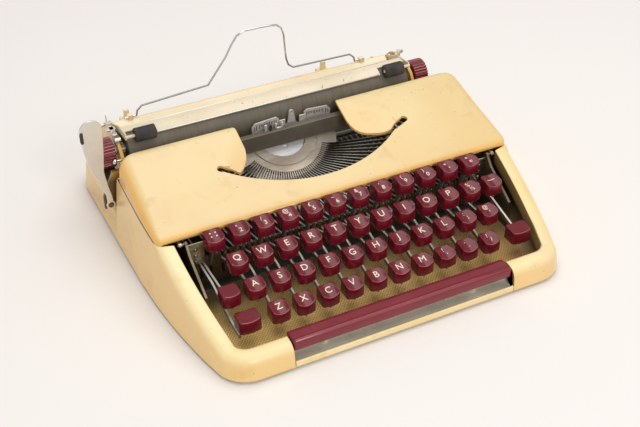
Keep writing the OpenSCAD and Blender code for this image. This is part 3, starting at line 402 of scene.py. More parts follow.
woven_cotton, tree, shader = start_finish("woven_cotton", Roughness=0.9, Sheen_Weight=0.25, Specular_IOR_Level=0.15)
spot = add_node(tree, "TexCoord")
split = add_node(tree, "SeparateXYZ")
over_under = add_node(tree, "Math", operation="MULTIPLY")
lifted = add_span(tree, over_under, "Value", -1.0, 1.0).outputs["Result"]
wire(tree, (spot, "Object", split, "Vector"))
for k, (axis, pitch) in enumerate((("X", 0.0012), ("Y", 0.0013))):
    scaled = add_node(tree, "Math", {1: math.pi / pitch}, operation="MULTIPLY")
    wave = add_node(tree, "Math", operation="SINE")
    wire(tree, (split, axis, scaled, 0), (scaled, "Value", wave, 0), (wave, "Value", over_under, k))
toned = lay_over(tree, lifted, (214, 156, 66), (255, 232, 156))
toned = stain(tree, toned, (156, 124, 60), 30, 0.5, 0.75, 0.45)
toned = stain(tree, toned, (212, 184, 116), 420, 0.62, 0.75, 0.5)
# Darker towards the right.
toned = lay_over(tree, place_mask(tree, "X", *DARKENS_X, 0.5), toned, (128, 82, 36))
# Painted shade: darker towards the back, under the cover and the keys.
toned = lay_over(tree, place_mask(tree, "Y", *BACK_SHADE_Y, 0.85), toned, (62, 46, 24))
set_colour(shader, toned)
raise_bumps(shader, lifted, 0.0003)
mat_piece = finish_piece("woven_mat_sheet", mat_sheet, woven_cotton, "woven_mat", "machine", "keyboard_mat")


# Side plates, lever rod and comb: the blanked steel frame that carries the keyboard, screwed to the pan.
# Two small riveted brackets close the corners under the cover's lip.
# The steel is zinc plated, dulled and a little brown with old oil.
brushed, ends_in, ends_out = start_effect("brushed", ["Mask"], Along=40.0, Across=900.0)
spot = add_node(brushed, "TexCoord")
lengths = add_node(brushed, "CombineXYZ")
drawn = add_node(brushed, "VectorMath", operation="MULTIPLY")
streaks = add_node(brushed, "TexNoise", {"Scale": 1.0, "Detail": 2.0})
spread = add_span(brushed, streaks, "Fac", 0.3, 0.7)
wire(
    brushed,
    (ends_in, "Along", lengths, "X"),
    (ends_in, "Across", lengths, "Y"),
    (ends_in, "Across", lengths, "Z"),
    (spot, "Object", drawn, 0),
    (lengths, "Vector", drawn, 1),
    (drawn, "Vector", streaks, "Vector"),
    (spread, "Result", ends_out, "Mask"),
)


def metal_finish(name, bright, dull, tarnish, smooth, rough, tarnish_strength=0.6, bare=1.0):
    finish, tree, shader = start_finish(name, Metallic=bare)
    streak = use_effect(tree, brushed, Along=60.0, Across=1500.0).outputs["Mask"]
    clouded = patch_mask(tree, 45, 0.42, 0.72, tarnish_strength)
    toned = lay_over(tree, streak, bright, dull)
    toned = lay_over(tree, clouded, toned, tarnish)
    toned = stain(tree, toned, (70, 58, 42), 700, 0.68, 0.75, 0.5)
    set_colour(shader, toned)
    vary_roughness(shader, clouded, smooth, rough)
    raise_bumps(shader, streak, 0.000005)
    return finish


oiled = metal_finish("oiled_steel", (150, 138, 114), (120, 108, 86), (82, 64, 40), 0.45, 0.65)
for node in ("left_side_plate", "right_side_plate", "key_comb"):
    dressed(node, oiled, "steel", 0.0 if node == "key_comb" else 0.25)
zinc = metal_finish("zinc_steel", (196, 190, 172), (164, 158, 140), (128, 108, 74), 0.28, 0.5)
dressed("lever_fulcrum_rod", zinc, "steel", 0.2)


def add_block(form, low, high, edge=0.3):
    """Rectangular blank with its edges broken, between two corners in millimetres of the row's frame."""
    made = bmesh.ops.create_cube(form, size=1.0)["verts"]
    for vert in made:
        for axis in range(3):
            vert.co[axis] = (low[axis] if vert.co[axis] < 0 else high[axis]) * MM
    rims = {rim for vert in made for rim in vert.link_edges}
    bmesh.ops.bevel(
        form, geom=list(rims), offset=edge * MM, segments=2, profile=0.5, affect="EDGES", clamp_overlap=True
    )


def join_rings(form, rings):
    """Walls from each ring of points to the next, all the way round."""
    count = len(rings[0])
    for lower, upper in zip(rings, rings[1:]):
        for k in range(count):
            form.faces.new((lower[k], lower[(k + 1) % count], upper[(k + 1) % count], upper[k]))


def add_turned(form, centre, axis, profile, sides=24):
    """Turned form about an axis: profile gives distance along the axis and radius, in millimetres."""
    axis = Vector(axis).normalized()
    side = axis.orthogonal().normalized()
    other = axis.cross(side)
    rings = []
    for along, radius in profile:
        middle = Vector(centre) + axis * along
        rings.append([
            form.verts.new((middle + (side * math.cos(a) + other * math.sin(a)) * radius) * MM)
            for a in (2 * math.pi * k / sides for k in range(sides))
        ])
    join_rings(form, rings)
    form.faces.new(list(reversed(rings[0])))
    form.faces.new(rings[-1])


def made_mesh(form, name, turn=35):
    bmesh.ops.recalc_face_normals(form, faces=form.faces[:])
    return form_to_mesh(form, name, turn)


def fit_form(name, form, finish, slot_name, body):
    finish_piece(name, made_mesh(form, name), finish, slot_name, body)


brackets = bmesh.new()
for x0, x1, mid in ((-116.0, -103.6, -110.4), (119.6, 132.0, 126.4)):
    add_block(brackets, (x0, -43.0, 29.5), (x1, -41.2, 46.0))
    add_block(brackets, (x0, -43.6, 46.2), (x1 if x0 > 0 else -95.0, -42.2, 49.2))
    for z in (32.0, 37.5, 43.0):
        add_turned(brackets, (mid, -43.0, z), (0, -1, 0), [(-0.5, 1.5), (0.0, 1.5), (0.5, 1.25), (0.8, 0.7)], 16)
fit_form("corner_brackets", brackets, zinc, "steel", "machine")


# Key levers: one thin nickel-plated steel strip to each key, swinging on the rod at the back.
# They are blanked from sheet and cranked, so that four rows pass each other through the comb.
# Their sides carry painted shade, darker than their top edges.
lever_nickel = metal_finish("lever_nickel", (255, 252, 244), (242, 237, 226), (206, 190, 160), 0.3, 0.48, 0.4, 0.25)
# Painted shade: faces that turn away from straight up are laid over with dark brown.
coat_over(lever_nickel, facing_mask(lever_nickel.node_tree, UP, 0.7, 0.2, 0.85), (76, 66, 50))
for node in (
    "number_row_levers", "top_row_levers", "home_row_levers", "bottom_row_levers", "shift_yoke",
    "shift_lock_lever", "backspace_lever", "margin_release_lever",
):
    dressed(node, lever_nickel, "steel")


# Key caps: moulded in maroon plastic and pressed on the lever ends.
# Each has a bowed front, a top that leans towards the typist, and a dish for the finger tip.
# The two shifts and the shift lock are nearly flat on top and left blank.
ROW_Y = (-52.0, -70.34, -88.68, -107.02)
ROW_TOP = (60.0, 49.45, 38.9, 28.35)
ROW_START = (-5.5, -6.0, -5.75, -5.25)
CAP_WIDTH, CAP_DEPTH, CAP_HEIGHT = 14.0, 13.4, 11.0
SHIFT_WIDTH = 16.6
DISH_BACK, DISH_RIM = 0.4, 0.5
KEY_PITCH = 19.0
CENTRE_X = 8.0
TYPE_X = CENTRE_X - 2.7


def key_x(row, i):
    return TYPE_X + (i + ROW_START[row]) * KEY_PITCH


def cap_plan(width):
    """Outline of a cap from above: square at the back, round at the front corners, front edge bowed."""
    bow, front_r, back_r = 0.7, 2.5, 1.9
    half, back, front = width / 2, CAP_DEPTH / 2, bow - CAP_DEPTH / 2
    arcs = []
    for quarter, (cx, cy, r) in enumerate((
        (half - back_r, back - back_r, back_r), (back_r - half, back - back_r, back_r),
        (front_r - half, front + front_r, front_r), (half - front_r, front + front_r, front_r),
    )):
        turns = [math.radians(90 * quarter + 18 * k) for k in range(6)]
        arcs.append([(cx + r * math.cos(a), cy + r * math.sin(a)) for a in turns])
    points = []
    for arc, after, steps, sag in zip(arcs, arcs[1:] + arcs[:1], (8, 4, 8, 4), (0, 0, bow, 0)):
        (x0, y0), (x1, y1) = arc[-1], after[0]
        points += arc
        for t in (k / steps for k in range(1, steps)):
            points.append((x0 + (x1 - x0) * t, y0 + (y1 - y0) * t - 4 * sag * t * (1 - t)))
    return points


def cap_surface(x, y, dish):
    """Height of a cap's top: level, with a round dish sunk into it that leans towards the typist."""
    radius, front = dish
    lean = (front - DISH_BACK) * (0.5 - y / CAP_DEPTH)
    trough = CAP_HEIGHT - DISH_BACK - lean + radius - math.sqrt(radius ** 2 - x ** 2)
    under = CAP_HEIGHT - trough
    if abs(under) < DISH_RIM:
        return CAP_HEIGHT - (under + DISH_RIM) ** 2 / (4 * DISH_RIM)
    return min(CAP_HEIGHT, trough)


def add_cap(form, x, row, width, dish):
    plan = cap_plan(width)
    rings = [
        [(px * reach, py * reach, z) for px, py in plan] for reach, z in ((0.955, 0.0), (0.985, 0.35), (1.0, 1.2))
    ]
    for reach, below in (
        (0.985, 4.5), (0.965, 0.8), (0.95, 0.3), (0.925, 0.06), (0.89, 0.0), (0.84, 0.0), (0.76, 0.0), (0.66, 0.0),
        (0.54, 0.0), (0.4, 0.0), (0.2, 0.0),
    ):
        rings.append([
            (px * reach, py * reach, cap_surface(px * reach, py * reach, dish) - below) for px, py in plan
        ])
    place = Vector((x, ROW_Y[row], ROW_TOP[row] - CAP_HEIGHT))
    loops = [[form.verts.new((place + Vector(p)) * MM) for p in ring] for ring in rings]
    join_rings(form, loops)
    form.faces.new(list(reversed(loops[0])))
    middle = form.verts.new((place + Vector((0, 0, cap_surface(0, 0, dish)))) * MM)
    for here, after in zip(loops[-1], loops[-1][1:] + loops[-1][:1]):
        form.faces.new((here, after, middle))


HIGHLIGHT_NORMAL = Vector((-0.1, -0.75, 0.65)).normalized()
smears, ends_in, ends_out = start_effect("smears", ["Mask", "Grease"], Strength=1.0)
facing = add_node(smears, "NewGeometry")
upright = add_node(smears, "SeparateXYZ")
settled = add_span(smears, upright, "Z", 0.35, 0.95)
fluff = add_node(smears, "TexNoise", {"Scale": 260.0, "Detail": 4.0})
loose = add_span(smears, fluff, "Fac", 0.45, 0.75)
fallen = add_node(smears, "Math", operation="MULTIPLY")
weigh = add_node(smears, "Math", operation="MULTIPLY")
thumb = add_node(smears, "TexNoise", {"Scale": 120.0, "Detail": 2.0})
spot = add_node(smears, "TexCoord")
wire(
    smears,
    (spot, "Object", fluff, "Vector"),
    (spot, "Object", thumb, "Vector"),
    (facing, "Normal", upright, "Vector"),
    (settled, "Result", fallen, 0),
    (loose, "Result", fallen, 1),
    (fallen, "Value", weigh, 0),
    (ends_in, "Strength", weigh, 1),
    (weigh, "Value", ends_out, "Mask"),
    (thumb, "Fac", ends_out, "Grease"),
)


def moulded_finish(name, body, light, dust_strength, highlight_strength):
    finish, tree, shader = start_finish(name, Specular_IOR_Level=0.5)
    film = use_effect(tree, smears, Strength=dust_strength)
    toned = stain(tree, body, light, 34, 0.4, 0.7, 0.6)
    toned = lay_over(tree, film.outputs["Mask"], toned, (168, 120, 120))
    # Painted highlight: faces turned between the eye and the front lamp get a pale pink line, mostly along the front
    # edges.
    wear_and_highlight = facing_mask(tree, HIGHLIGHT_NORMAL, 0.95, 0.985, highlight_strength)
    toned = lay_over(tree, wear_and_highlight, toned, (216, 140, 136))
    set_colour(shader, toned)
    vary_roughness(shader, film.outputs["Grease"], 0.12, 0.22)
    grain(shader, 1100, 0.000012, 1.0)
    return finish


# The maroon carries a painted highlight along the caps' front edges and the knobs' ribs.
maroon = moulded_finish("maroon_plastic", (106, 15, 31), (118, 22, 38), 0.03, 0.6)
LETTER_DISH = (11.24, 3.0)
LOCK_DISH = (37.46, 1.0)
SHIFT_DISH = (55.0, 1.0)
KEY_GROUPS = [
    (name, row, [(key_x(row, i), CAP_WIDTH, dish) for i in range(first, last + 1)])
    for name, row, first, last, dish in (
        ("number_row_caps", 0, 1, 11, LETTER_DISH), ("top_row_caps", 1, 1, 11, LETTER_DISH),
        ("home_row_caps", 2, 1, 11, LETTER_DISH), ("bottom_row_caps", 3, 1, 10, LETTER_DISH),
        ("margin_release_cap", 0, 0, 0, LETTER_DISH), ("backspace_cap", 1, 12, 12, LETTER_DISH),
        ("shift_lock_cap", 2, 0, 0, LOCK_DISH),
    )
] + [("shift_caps", 3, [(x, SHIFT_WIDTH, SHIFT_DISH) for x in (-98.7, 121.3)])]
for node, row, keys in KEY_GROUPS:
    caps = bmesh.new()
    for x, width, dish in keys:
        add_cap(caps, x, row, width, dish)
    finish_piece(node + "_moulded", made_mesh(caps, node, 60), maroon, "maroon", body_of[node], node)


# Key legends: cream filler pressed into cut letters, standing a hair proud of the plastic.
# Letters stand alone, figures have their sign above them, and the margin key has four dots.
LETTER_SIZE, SIGN_SIZE, FIGURE_SIZE, DASH_SIZE = 5.3, 3.4, 3.6, 4.4
LETTER_AT, SIGN_AT, FIGURE_AT, DASH_AT = (0.0, 0.7), (-1.1, 2.5), (0.9, -1.5), (0.0, 0.6)
STANDS_PROUD, CUT_DEPTH = 0.28, 0.5
FONT_SCALE, LONGEST_EDGE = 1.4, 0.9
legend_white, tree, shader = start_finish("legend_white", Roughness=0.45)
set_colour(shader, stain(tree, (252, 232, 208), (226, 196, 172), 500, 0.5, 0.75, 0.6))
grain(shader, 1800, 0.00001)


def form_of_curve(curve):
    """Takes the form of a curve and does away with the curve."""
    stamp = set_down(curve.name, curve)
    drawn = stamp.evaluated_get(bpy.context.evaluated_depsgraph_get())
    form = bmesh.new()
    form.from_mesh(drawn.to_mesh())
    drawn.to_mesh_clear()
    bpy.data.objects.remove(stamp)
    bpy.data.curves.remove(curve)
    return form


def letter_mesh(words, height):
    """Flat filled letters about the origin, in millimetres, cut fine enough to follow the dish."""
    curve = bpy.data.curves.new("letters", "FONT")
    curve.body = words
    curve.size = height * FONT_SCALE
    curve.align_x = "CENTER"
    curve.resolution_u = 4
    form = form_of_curve(curve)
    bmesh.ops.triangulate(form, faces=form.faces[:])
    for _ in range(3):
        long_edges = [e for e in form.edges if e.calc_length() > LONGEST_EDGE]
        if long_edges:
            bmesh.ops.subdivide_edges(form, edges=long_edges, cuts=1)
            bmesh.ops.triangulate(form, faces=form.faces[:])
    corners = [tuple(v.co) for v in form.verts]
    faces = [tuple(v.index for v in f.verts) for f in form.faces]
    form.free()
    low = min(c[1] for c in corners)
    high = max(c[1] for c in corners)
    return [(c[0], c[1] - (low + high) / 2) for c in corners], faces


def add_legend(form, x, row, dish, words, height, shift_x, shift_y):
    points, faces = letter_mesh(words, height)
    base = ROW_TOP[row] - CAP_HEIGHT
    verts = []
    for u, v in points:
        px, py = u + shift_x, v + shift_y
        verts.append(form.verts.new(
            ((x + px) * MM, (ROW_Y[row] + py) * MM, (base + cap_surface(px, py, dish) + STANDS_PROUD) * MM)
        ))
    for face in faces:
        try:
            form.faces.new([verts[k] for k in face])
        except ValueError:
            continue


LEGENDS = {
    "number_row_caps": [("\"", "2"), ("/", "3"), ("@", "4"), ("£", "5"), ("_", "6"), ("&", "7"), ("'", "8"),
                        ("(", "9"), (")", "0"), ("*", "-"), ("+", "=")],
    "top_row_caps": list("QWERTYUIOP") + [("%", "½")],
    "home_row_caps": list("ASDFGHJKL") + [(":", ";"), ("@", "'")],
    "bottom_row_caps": list("ZXCVBNM") + [("!", ","), (".", "."), ("?", "/")],
}
for node, row, keys in KEY_GROUPS:
    ink = bmesh.new()
    for (x, width, dish), words in zip(keys, LEGENDS.get(node, [])):
        if isinstance(words, tuple):
            add_legend(ink, x, row, dish, words[0], SIGN_SIZE, *SIGN_AT)
            add_legend(ink, x, row, dish, words[1], FIGURE_SIZE, *FIGURE_AT)
        else:
            add_legend(ink, x, row, dish, words, LETTER_SIZE, *LETTER_AT)
    if node == "margin_release_cap":
        for dx in (-2.0, 2.0):
            for dy in (-0.9, 2.3):
                add_legend(ink, keys[0][0], row, LETTER_DISH, "•", SIGN_SIZE, dx, dy)
    if node == "backspace_cap":
        add_legend(ink, keys[0][0], row, LETTER_DISH, "—", DASH_SIZE, *DASH_AT)
    if len(ink.faces):
        bmesh.ops.remove_doubles(ink, verts=ink.verts, dist=2e-6)
        under = bmesh.ops.extrude_face_region(ink, geom=ink.faces[:])["geom"]
        sunk = [part for part in under if isinstance(part, bmesh.types.BMVert)]
        bmesh.ops.translate(ink, verts=sunk, vec=(0, 0, -CUT_DEPTH * MM))
        bmesh.ops.recalc_face_normals(ink, faces=ink.faces[:])
        mesh = bpy.data.meshes.new(node + "_legends")
        ink.to_mesh(mesh)
        finish_piece(node + "_legends", mesh, legend_white, "ivory", body_of[node])
    ink.free()


# Space bar: one long maroon moulding on two steel stems, hollow below.
# A ridge runs along its front edge and carries a painted highlight, and the typist's thumbs have polished the top.
BAR_MIDDLE_Y, BAR_FLOOR = -131.8, 14.0
BAR_PROFILE = [
    (-138.7, 14.0), (-138.8, 14.6), (-138.6, 19.2), (-138.2, 20.6), (-137.5, 21.5), (-136.8, 21.9), (-136.0, 21.95),
    (-135.3, 21.7), (-134.6, 21.45), (-133.9, 21.5), (-130.0, 21.35), (-126.6, 20.95), (-125.6, 20.5),
    (-125.0, 19.6), (-124.8, 18.4), (-124.8, 14.0),
]
bar = bmesh.new()
stations = []
for x, draw in (
    (-87.0, 0.82), (-86.8, 0.9), (-86.2, 0.97), (-85.2, 1.0), (-40.0, 1.0), (0.0, 1.0), (40.0, 1.0),
    (85.2, 1.0), (86.2, 0.97), (86.8, 0.9), (87.0, 0.82),
):
    stations.append([
        bar.verts.new(Vector((
            x + CENTRE_X, BAR_MIDDLE_Y + (y - BAR_MIDDLE_Y) * draw, BAR_FLOOR + (z - BAR_FLOOR) * draw
        )) * MM)
        for y, z in BAR_PROFILE
    ])
for left, right in zip(stations, stations[1:]):
    for k in range(len(BAR_PROFILE) - 1):
        bar.faces.new((left[k], right[k], right[k + 1], left[k + 1]))
bar.faces.new(stations[0])
bar.faces.new(list(reversed(stations[-1])))
inside = []
for x in (-85.0, 85.0):
    inside.append([
        bar.verts.new(Vector((x + CENTRE_X, y, z)) * MM)
        for y, z in ((-136.8, BAR_FLOOR), (-136.8, 18.6), (-126.8, 18.6), (-126.8, BAR_FLOOR))
    ])
for k in range(3):
    bar.faces.new((inside[0][k], inside[0][k + 1], inside[1][k + 1], inside[1][k]))
bar.faces.new(list(reversed(inside[0])))
bar.faces.new(inside[1])
for k in (0, -1):
    bar.faces.new([station[k] for station in stations] + [inside[1][k], inside[0][k]])
    bar.faces.new((stations[k][-1], stations[k][0], inside[k][0], inside[k][-1]))
bar_mesh = made_mesh(bar, "space_bar_moulded", 50)
worn_and_highlit_maroon = moulded_finish("worn_and_highlit_maroon_plastic", (124, 34, 45), (138, 46, 55), 0.03, 0.2)
finish_piece("space_bar_moulded", bar_mesh, worn_and_highlit_maroon, "maroon", body_of["space_bar"], "space_bar")
nickel = metal_finish("nickel_steel", (240, 236, 226), (222, 216, 202), (180, 162, 128), 0.3, 0.48, 0.4, 0.6)
dressed("space_bar_stems", nickel, "steel", 0.3)


# Type segment and its plate: a slotted half ring of steel in which every typebar hangs on one bent wire.
# The ring is milled and left bright, and two screws hold it; the plate in its window is polished and riveted.
segment_steel = metal_finish("segment_steel", (214, 202, 184), (186, 174, 156), (150, 134, 112), 0.34, 0.5, 0.4, 0.55)
dressed("type_segment", segment_steel, "steel")
polished = metal_finish("polished_steel", (252, 252, 252), (246, 246, 247), (226, 224, 220), 0.2, 0.3, 0.3, 0.25)
dressed("segment_plate", polished, "steel", 0.3)
TILT = math.radians(30)
SEGMENT_Y, SEGMENT_Z = 62.8, 45.4
SLOT_TURN = 0.4


def in_segment(x, y, z):
    """Point of the segment's own sloping frame, in millimetres of the row's frame."""
    return (
        TYPE_X + x,
        SEGMENT_Y + y * math.cos(TILT) - z * math.sin(TILT),
        SEGMENT_Z + y * math.sin(TILT) + z * math.cos(TILT),
    )


def add_screw(form, centre, axis, radius, height):
    """Cheese-head screw: a turned head with a rounded rim, and a driver slot sunk across it."""
    rim, shoulder = radius * 0.93, height * 0.85
    add_turned(form, centre, axis, [(-0.6, radius), (height * 0.55, radius), (shoulder, rim)])
    axis = Vector(axis).normalized()
    side = axis.orthogonal().normalized()
    other = axis.cross(side)
    along = side * math.cos(SLOT_TURN) + other * math.sin(SLOT_TURN)
    wide = axis.cross(along)
    top = Vector(centre) + axis * shoulder
    for sign in (-1, 1):
        outline = []
        for k in range(9):
            a = math.radians(14 + 152 * k / 8)
            outline.append(along * math.cos(a) * rim + wide * sign * math.sin(a) * rim)
        low = [form.verts.new((top + p) * MM) for p in outline]
        high = [form.verts.new((top + p * 0.94 + axis * height * 0.15) * MM) for p in outline]
        join_rings(form, [low, high])
        form.faces.new(high)
        form.faces.new(list(reversed(low)))


segment_screws = bmesh.new()
up_slope = (0, -math.sin(TILT), math.cos(TILT))
for x in (-30.0, 30.0):
    add_screw(segment_screws, in_segment(x, -5.0, 0.0), up_slope, 2.4, 1.5)
add_turned(segment_screws, in_segment(0.0, -9.0, -2.2), up_slope, [(-0.6, 2.3), (0.1, 2.3), (0.25, 1.8)])
fit_form("segment_screws", segment_screws, polished, "steel", "machine")


# Typebars: forty-three thin steel bars fanned in the segment, each with its type block on the end.
# They are blanked from sheet and nickel plated, and old ink has darkened them in spots.
# Their sides carry painted shade, and the bars at both ends of the fan lie deep and carry painted shade, nearly
# black.
FAN_SHADE_Y = (20, 40)
typebar_nickel, tree, shader = start_finish("typebar_nickel", Metallic=0.3)
clouded = patch_mask(tree, 80, 0.4, 0.7, 0.5)
toned = lay_over(tree, clouded, (255, 250, 238), (226, 217, 200))
toned = stain(tree, toned, (84, 76, 68), 260, 0.6, 0.72, 0.5)
# Painted shade: the bars deep at both ends of the fan, under the tongues, are nearly black.
toned = lay_over(tree, place_mask(tree, "Y", *FAN_SHADE_Y, 0.92), toned, (34, 29, 24))
set_colour(shader, toned)
vary_roughness(shader, clouded, 0.22, 0.45)
grain(shader, 1500, 0.00001)
# Painted shade: faces turning away from the segment's slope are laid over with dark brown.
coat_over(typebar_nickel, facing_mask(tree, up_slope, 0.75, 0.3, 0.9), (44, 38, 32))
dressed("typebars", typebar_nickel, "steel")


# Front rail: the dark bar across the machine behind the typebars, black crackle paint on steel.
# It carries the type guide and the two line gauges.
black_paint, tree, shader = start_finish("black_paint", Specular_IOR_Level=0.4)
dusty = patch_mask(tree, 55, 0.4, 0.75, 0.6)
toned = lay_over(tree, dusty, (96, 89, 78), (124, 116, 103))
worn = use_effect(tree, edge_wear, Radius=0.0012, Strength=0.55)
toned = lay_over(tree, worn.outputs["Mask"], toned, (168, 161, 148))
set_colour(shader, toned)
vary_roughness(shader, dusty, 0.36, 0.62)
grain(shader, 1600, 0.00003)
dressed("front_rail", black_paint, "dark_metal", 0.6)


# Type guide and line gauges: small bright sheet-metal blanks in front of the platen.
# The guide is a narrow tab with an eyelet near its tip; each gauge is ruled with letter spaces.
# A short tab, two pins and a dark post lead the ribbon past them, and stand on the rail.
MARK_START, MARK_PITCH, MARK_TOP, MARK_HALF = 13.2, 1.4, 74.6, 0.28
satin = metal_finish("satin_steel", (231, 229, 225), (228, 226, 221), (204, 199, 190), 0.34, 0.5, 0.3, 0.6)


def blank_mesh(name, outline, holes, y0, y1):
    """Flat blank in the plane of the platen's front, with holes, its rims broken. All in millimetres."""
    curve = bpy.data.curves.new(name, "CURVE")
    curve.dimensions = "2D"
    curve.fill_mode = "BOTH"
    curve.extrude = (y1 - y0) / 2 - 0.1
    curve.bevel_depth = 0.1
    for ring in [outline] + holes:
        spline = curve.splines.new("POLY")
        spline.points.add(len(ring) - 1)
        for point, (x, z) in zip(spline.points, ring):
            point.co = (x, z, 0, 1)
        spline.use_cyclic_u = True
    form = form_of_curve(curve)
    bmesh.ops.remove_doubles(form, verts=form.verts, dist=1e-4)
    for vert in form.verts:
        x, z, depth = vert.co
        vert.co = (x * MM, ((y0 + y1) / 2 - depth) * MM, z * MM)
    return made_mesh(form, name)


def round_edge(x, z, r, points=16):
    """Points round a hole from its right side, or as far round as a lesser number of points goes."""
    return [(x + r * math.cos(a), z + r * math.sin(a)) for a in (math.radians(22.5 * k) for k in range(points))]


tip = round_edge(0.0, 78.0, 2.0, 9)
guide_outline = [(-9, 55.6), (9, 55.6), (9, 62), (6, 66), (3.4, 69), (2.7, 73)] + tip
guide_outline += [(-2.7, 73), (-3.4, 69), (-6, 66), (-9, 62)]
guide_outline = [(TYPE_X + x, z) for x, z in guide_outline]
guide_mesh = blank_mesh("type_guide_blank", guide_outline, [round_edge(TYPE_X, 77.8, 0.95)], 41.8, 43.0)
finish_piece("type_guide_blank", guide_mesh, satin, "steel", "machine", "type_guide")
for side, name in ((-1, "left_gauge_blank"), (1, "right_gauge_blank")):
    gauge = [(11, 61), (33.6, 60.2), (33.6, 72.4), (31, 75.4), (13, 76.8), (11, 75)]
    slots = [
        [(29.2, 68.5), (30.2, 68.4), (30.2, 73.4), (29.2, 73.5)],
        [(31.2, 68.3), (32.2, 68.2), (32.2, 72.6), (31.2, 72.7)],
    ]
    rings = [[(TYPE_X + side * x, z) for x, z in ring] for ring in [gauge] + slots]
    mesh = blank_mesh(name, rings[0], rings[1:], 42.0, 43.0)
    stands_for = ("line_gauges",) if side < 0 else ()
    finish_piece(name, mesh, satin, "steel", "machine", *stands_for)
gauge_black, tree, shader = start_finish("gauge_black", Roughness=0.6)
set_colour(shader, stain(tree, (44, 42, 40), (96, 92, 86), 400, 0.5, 0.75, 0.6))
grain(shader, 1800, 0.00001)
gauge_marks = bmesh.new()
for side in (-1, 1):
    for k in range(11):
        x = TYPE_X + side * (MARK_START + MARK_PITCH * k)
        top = MARK_TOP - 0.1 * k
        reach = 3.4 if k % 5 == 0 else 2.2
        add_block(gauge_marks, (x - MARK_HALF, 41.9, top - reach), (x + MARK_HALF, 42.05, top), 0.02)
add_turned(gauge_marks, (-14.2, 38.4, 68.8), UP, [(0, 1.1), (4.6, 1.1), (5.0, 0.8)], 16)
fit_form("gauge_marks", gauge_marks, gauge_black, "dark_metal", "machine")
ribbon_leads = bmesh.new()
add_block(ribbon_leads, (-19.4, 38.0, 68.8), (-17.0, 39.2, 74.6), 0.4)
for x in (-10.4, -5.2):
    add_block(ribbon_leads, (x, 37.8, 68.8), (x + 1.6, 39.4, 72.4), 0.35)
    add_turned(ribbon_leads, (x + 0.8, 38.6, 72.2), UP, [(0, 0.9), (1.2, 0.9), (1.7, 0.4)], 12)
add_block(ribbon_leads, (-10.4, 37.8, 68.8), (-3.6, 39.4, 69.8))
fit_form("ribbon_leads", ribbon_leads, satin, "steel", "machine")


# Ribbon vibrator, cups and spools: the vibrator lifts the ribbon in front of the type.
# The cups are pressed steel painted dark; each spool is a sheet-metal bobbin wound with inked cotton.
dressed("ribbon_vibrator", nickel, "steel", 0.25)
dressed("ribbon_cups", black_paint, "dark_metal", 0.2)
ribbon_ink, tree, shader = start_finish("ribbon_ink", Roughness=0.75)
wound = use_effect(tree, brushed, Along=1500.0, Across=1500.0).outputs["Mask"]
set_colour(shader, lay_over(tree, wound, (28, 26, 30), (56, 52, 58)))
raise_bumps(shader, wound, 0.00008)
for node in ("left_ribbon_spool", "right_ribbon_spool"):
    dressed(node, ribbon_ink, "ribbon", 0.2)


# Ribbon cover: the cream sheet cover over the type basket, with its crescent opening and two tongues.
# It is pressed from one sheet, hinged at the front lip, and painted with the casing.
# Faint pink blotches show where hands have lifted it.
# Painted shade: the cover's faces that turn away from its top are laid over with strong ochre.
cover_paint = cream_finish("cover_paint", (237, 215, 164), (231, 202, 143), 0.5, 0.75, 0.992, 0.7)
COVER_T = 2.0
CORNER_R = 8.0
HALF_AT_LIP = 145.1
LIP_Y = -42.0
SLOPE_Y, SLOPE_Z, SLOPE_END_Y = -34.0, 59.0, 37.5
SLOPE = 19.5 / (SLOPE_END_Y - SLOPE_Y)
REAR_ROLL, REAR_DROP = 6.0, 4.5
TONGUE_Y, TONGUE_R, TONGUE_REACH = 2.5, 13.0, 76.0
TONGUE_START, TONGUE_END = 3.0, 43.4
END_ROLL, END_ROLL_Y = 5.0, 38.5
OUTER_X, OUTER_SPREAD = 60.0, 3.2
TONGUE_ROOT, TONGUE_BEND, BEND_SOFT = 75.0, 6 / 26.5, 4.0
CREASE_X, CREASE_Y, CREASE_RUN = 78.0, 6.5, 32.0
SWEEP_Y, SWEEP_RUN, SWEEP_RISE, SWEEP_NARROW = 3.1, 18.0, 0.27, 1.6
SLACK, NEAR = 0.3, 0.45
# Each tongue: its inner edge, how much of the bend is kept, and the five last values of tongue_sweep.
RIGHT_TONGUE = (34.5, 0.4, (57, 13, 3.0, 4.5, 0.0))
LEFT_TONGUE = (51.5, 0.9, (62, 9, 2.4, 6.0, 0.45))


def rolled(u):
    return 0.0 if u <= 0 else 1 - math.sqrt(1 - min(u, 1) ** 2)


def cover_top(y):
    return SLOPE_Z + SLOPE * (y - SLOPE_Y) - REAR_DROP * rolled((y - SLOPE_END_Y) / REAR_ROLL)


def tongue_edge(y, inner):
    bend_y = TONGUE_Y + TONGUE_R
    return inner + (TONGUE_R - math.sqrt(TONGUE_R ** 2 - (bend_y - y) ** 2) if y < bend_y else 0)


def tongue_dip(x, y, inner):
    """How far the solid's tongue bends below the cover's slope, or nothing off the tongue."""
    edge = tongue_edge(y, inner) + END_ROLL * rolled((y - END_ROLL_Y) / END_ROLL)
    if not edge - SLACK < x < min(TONGUE_REACH, OUTER_X + OUTER_SPREAD * (y - TONGUE_Y)) + SLACK:
        return None
    crease = CREASE_X + (inner - CREASE_X) * (y - CREASE_Y) / CREASE_RUN
    u = max(edge + 0.5, min(crease, TONGUE_ROOT)) - x
    return TONGUE_BEND * (u if u > BEND_SOFT else max(u + BEND_SOFT, 0) ** 2 / (4 * BEND_SOFT))


def tongue_sweep(across, y, inner, middle, span, forward, outward, blunt):
    """How far a tongue's inner corner is swept outwards, and its lower edge drawn forward."""
    low = max(0.0, 1 - (y - SWEEP_Y) / SWEEP_RUN)
    near = max(0.0, 1 - SWEEP_NARROW * (across - tongue_edge(y, inner)) / (TONGUE_REACH - inner))
    bulge = max(0.0, 1 - ((across - middle) / span) ** 2)
    return outward * low ** 1.3 * (1 - blunt * low ** 4) * near, -forward * low ** 2 * bulge


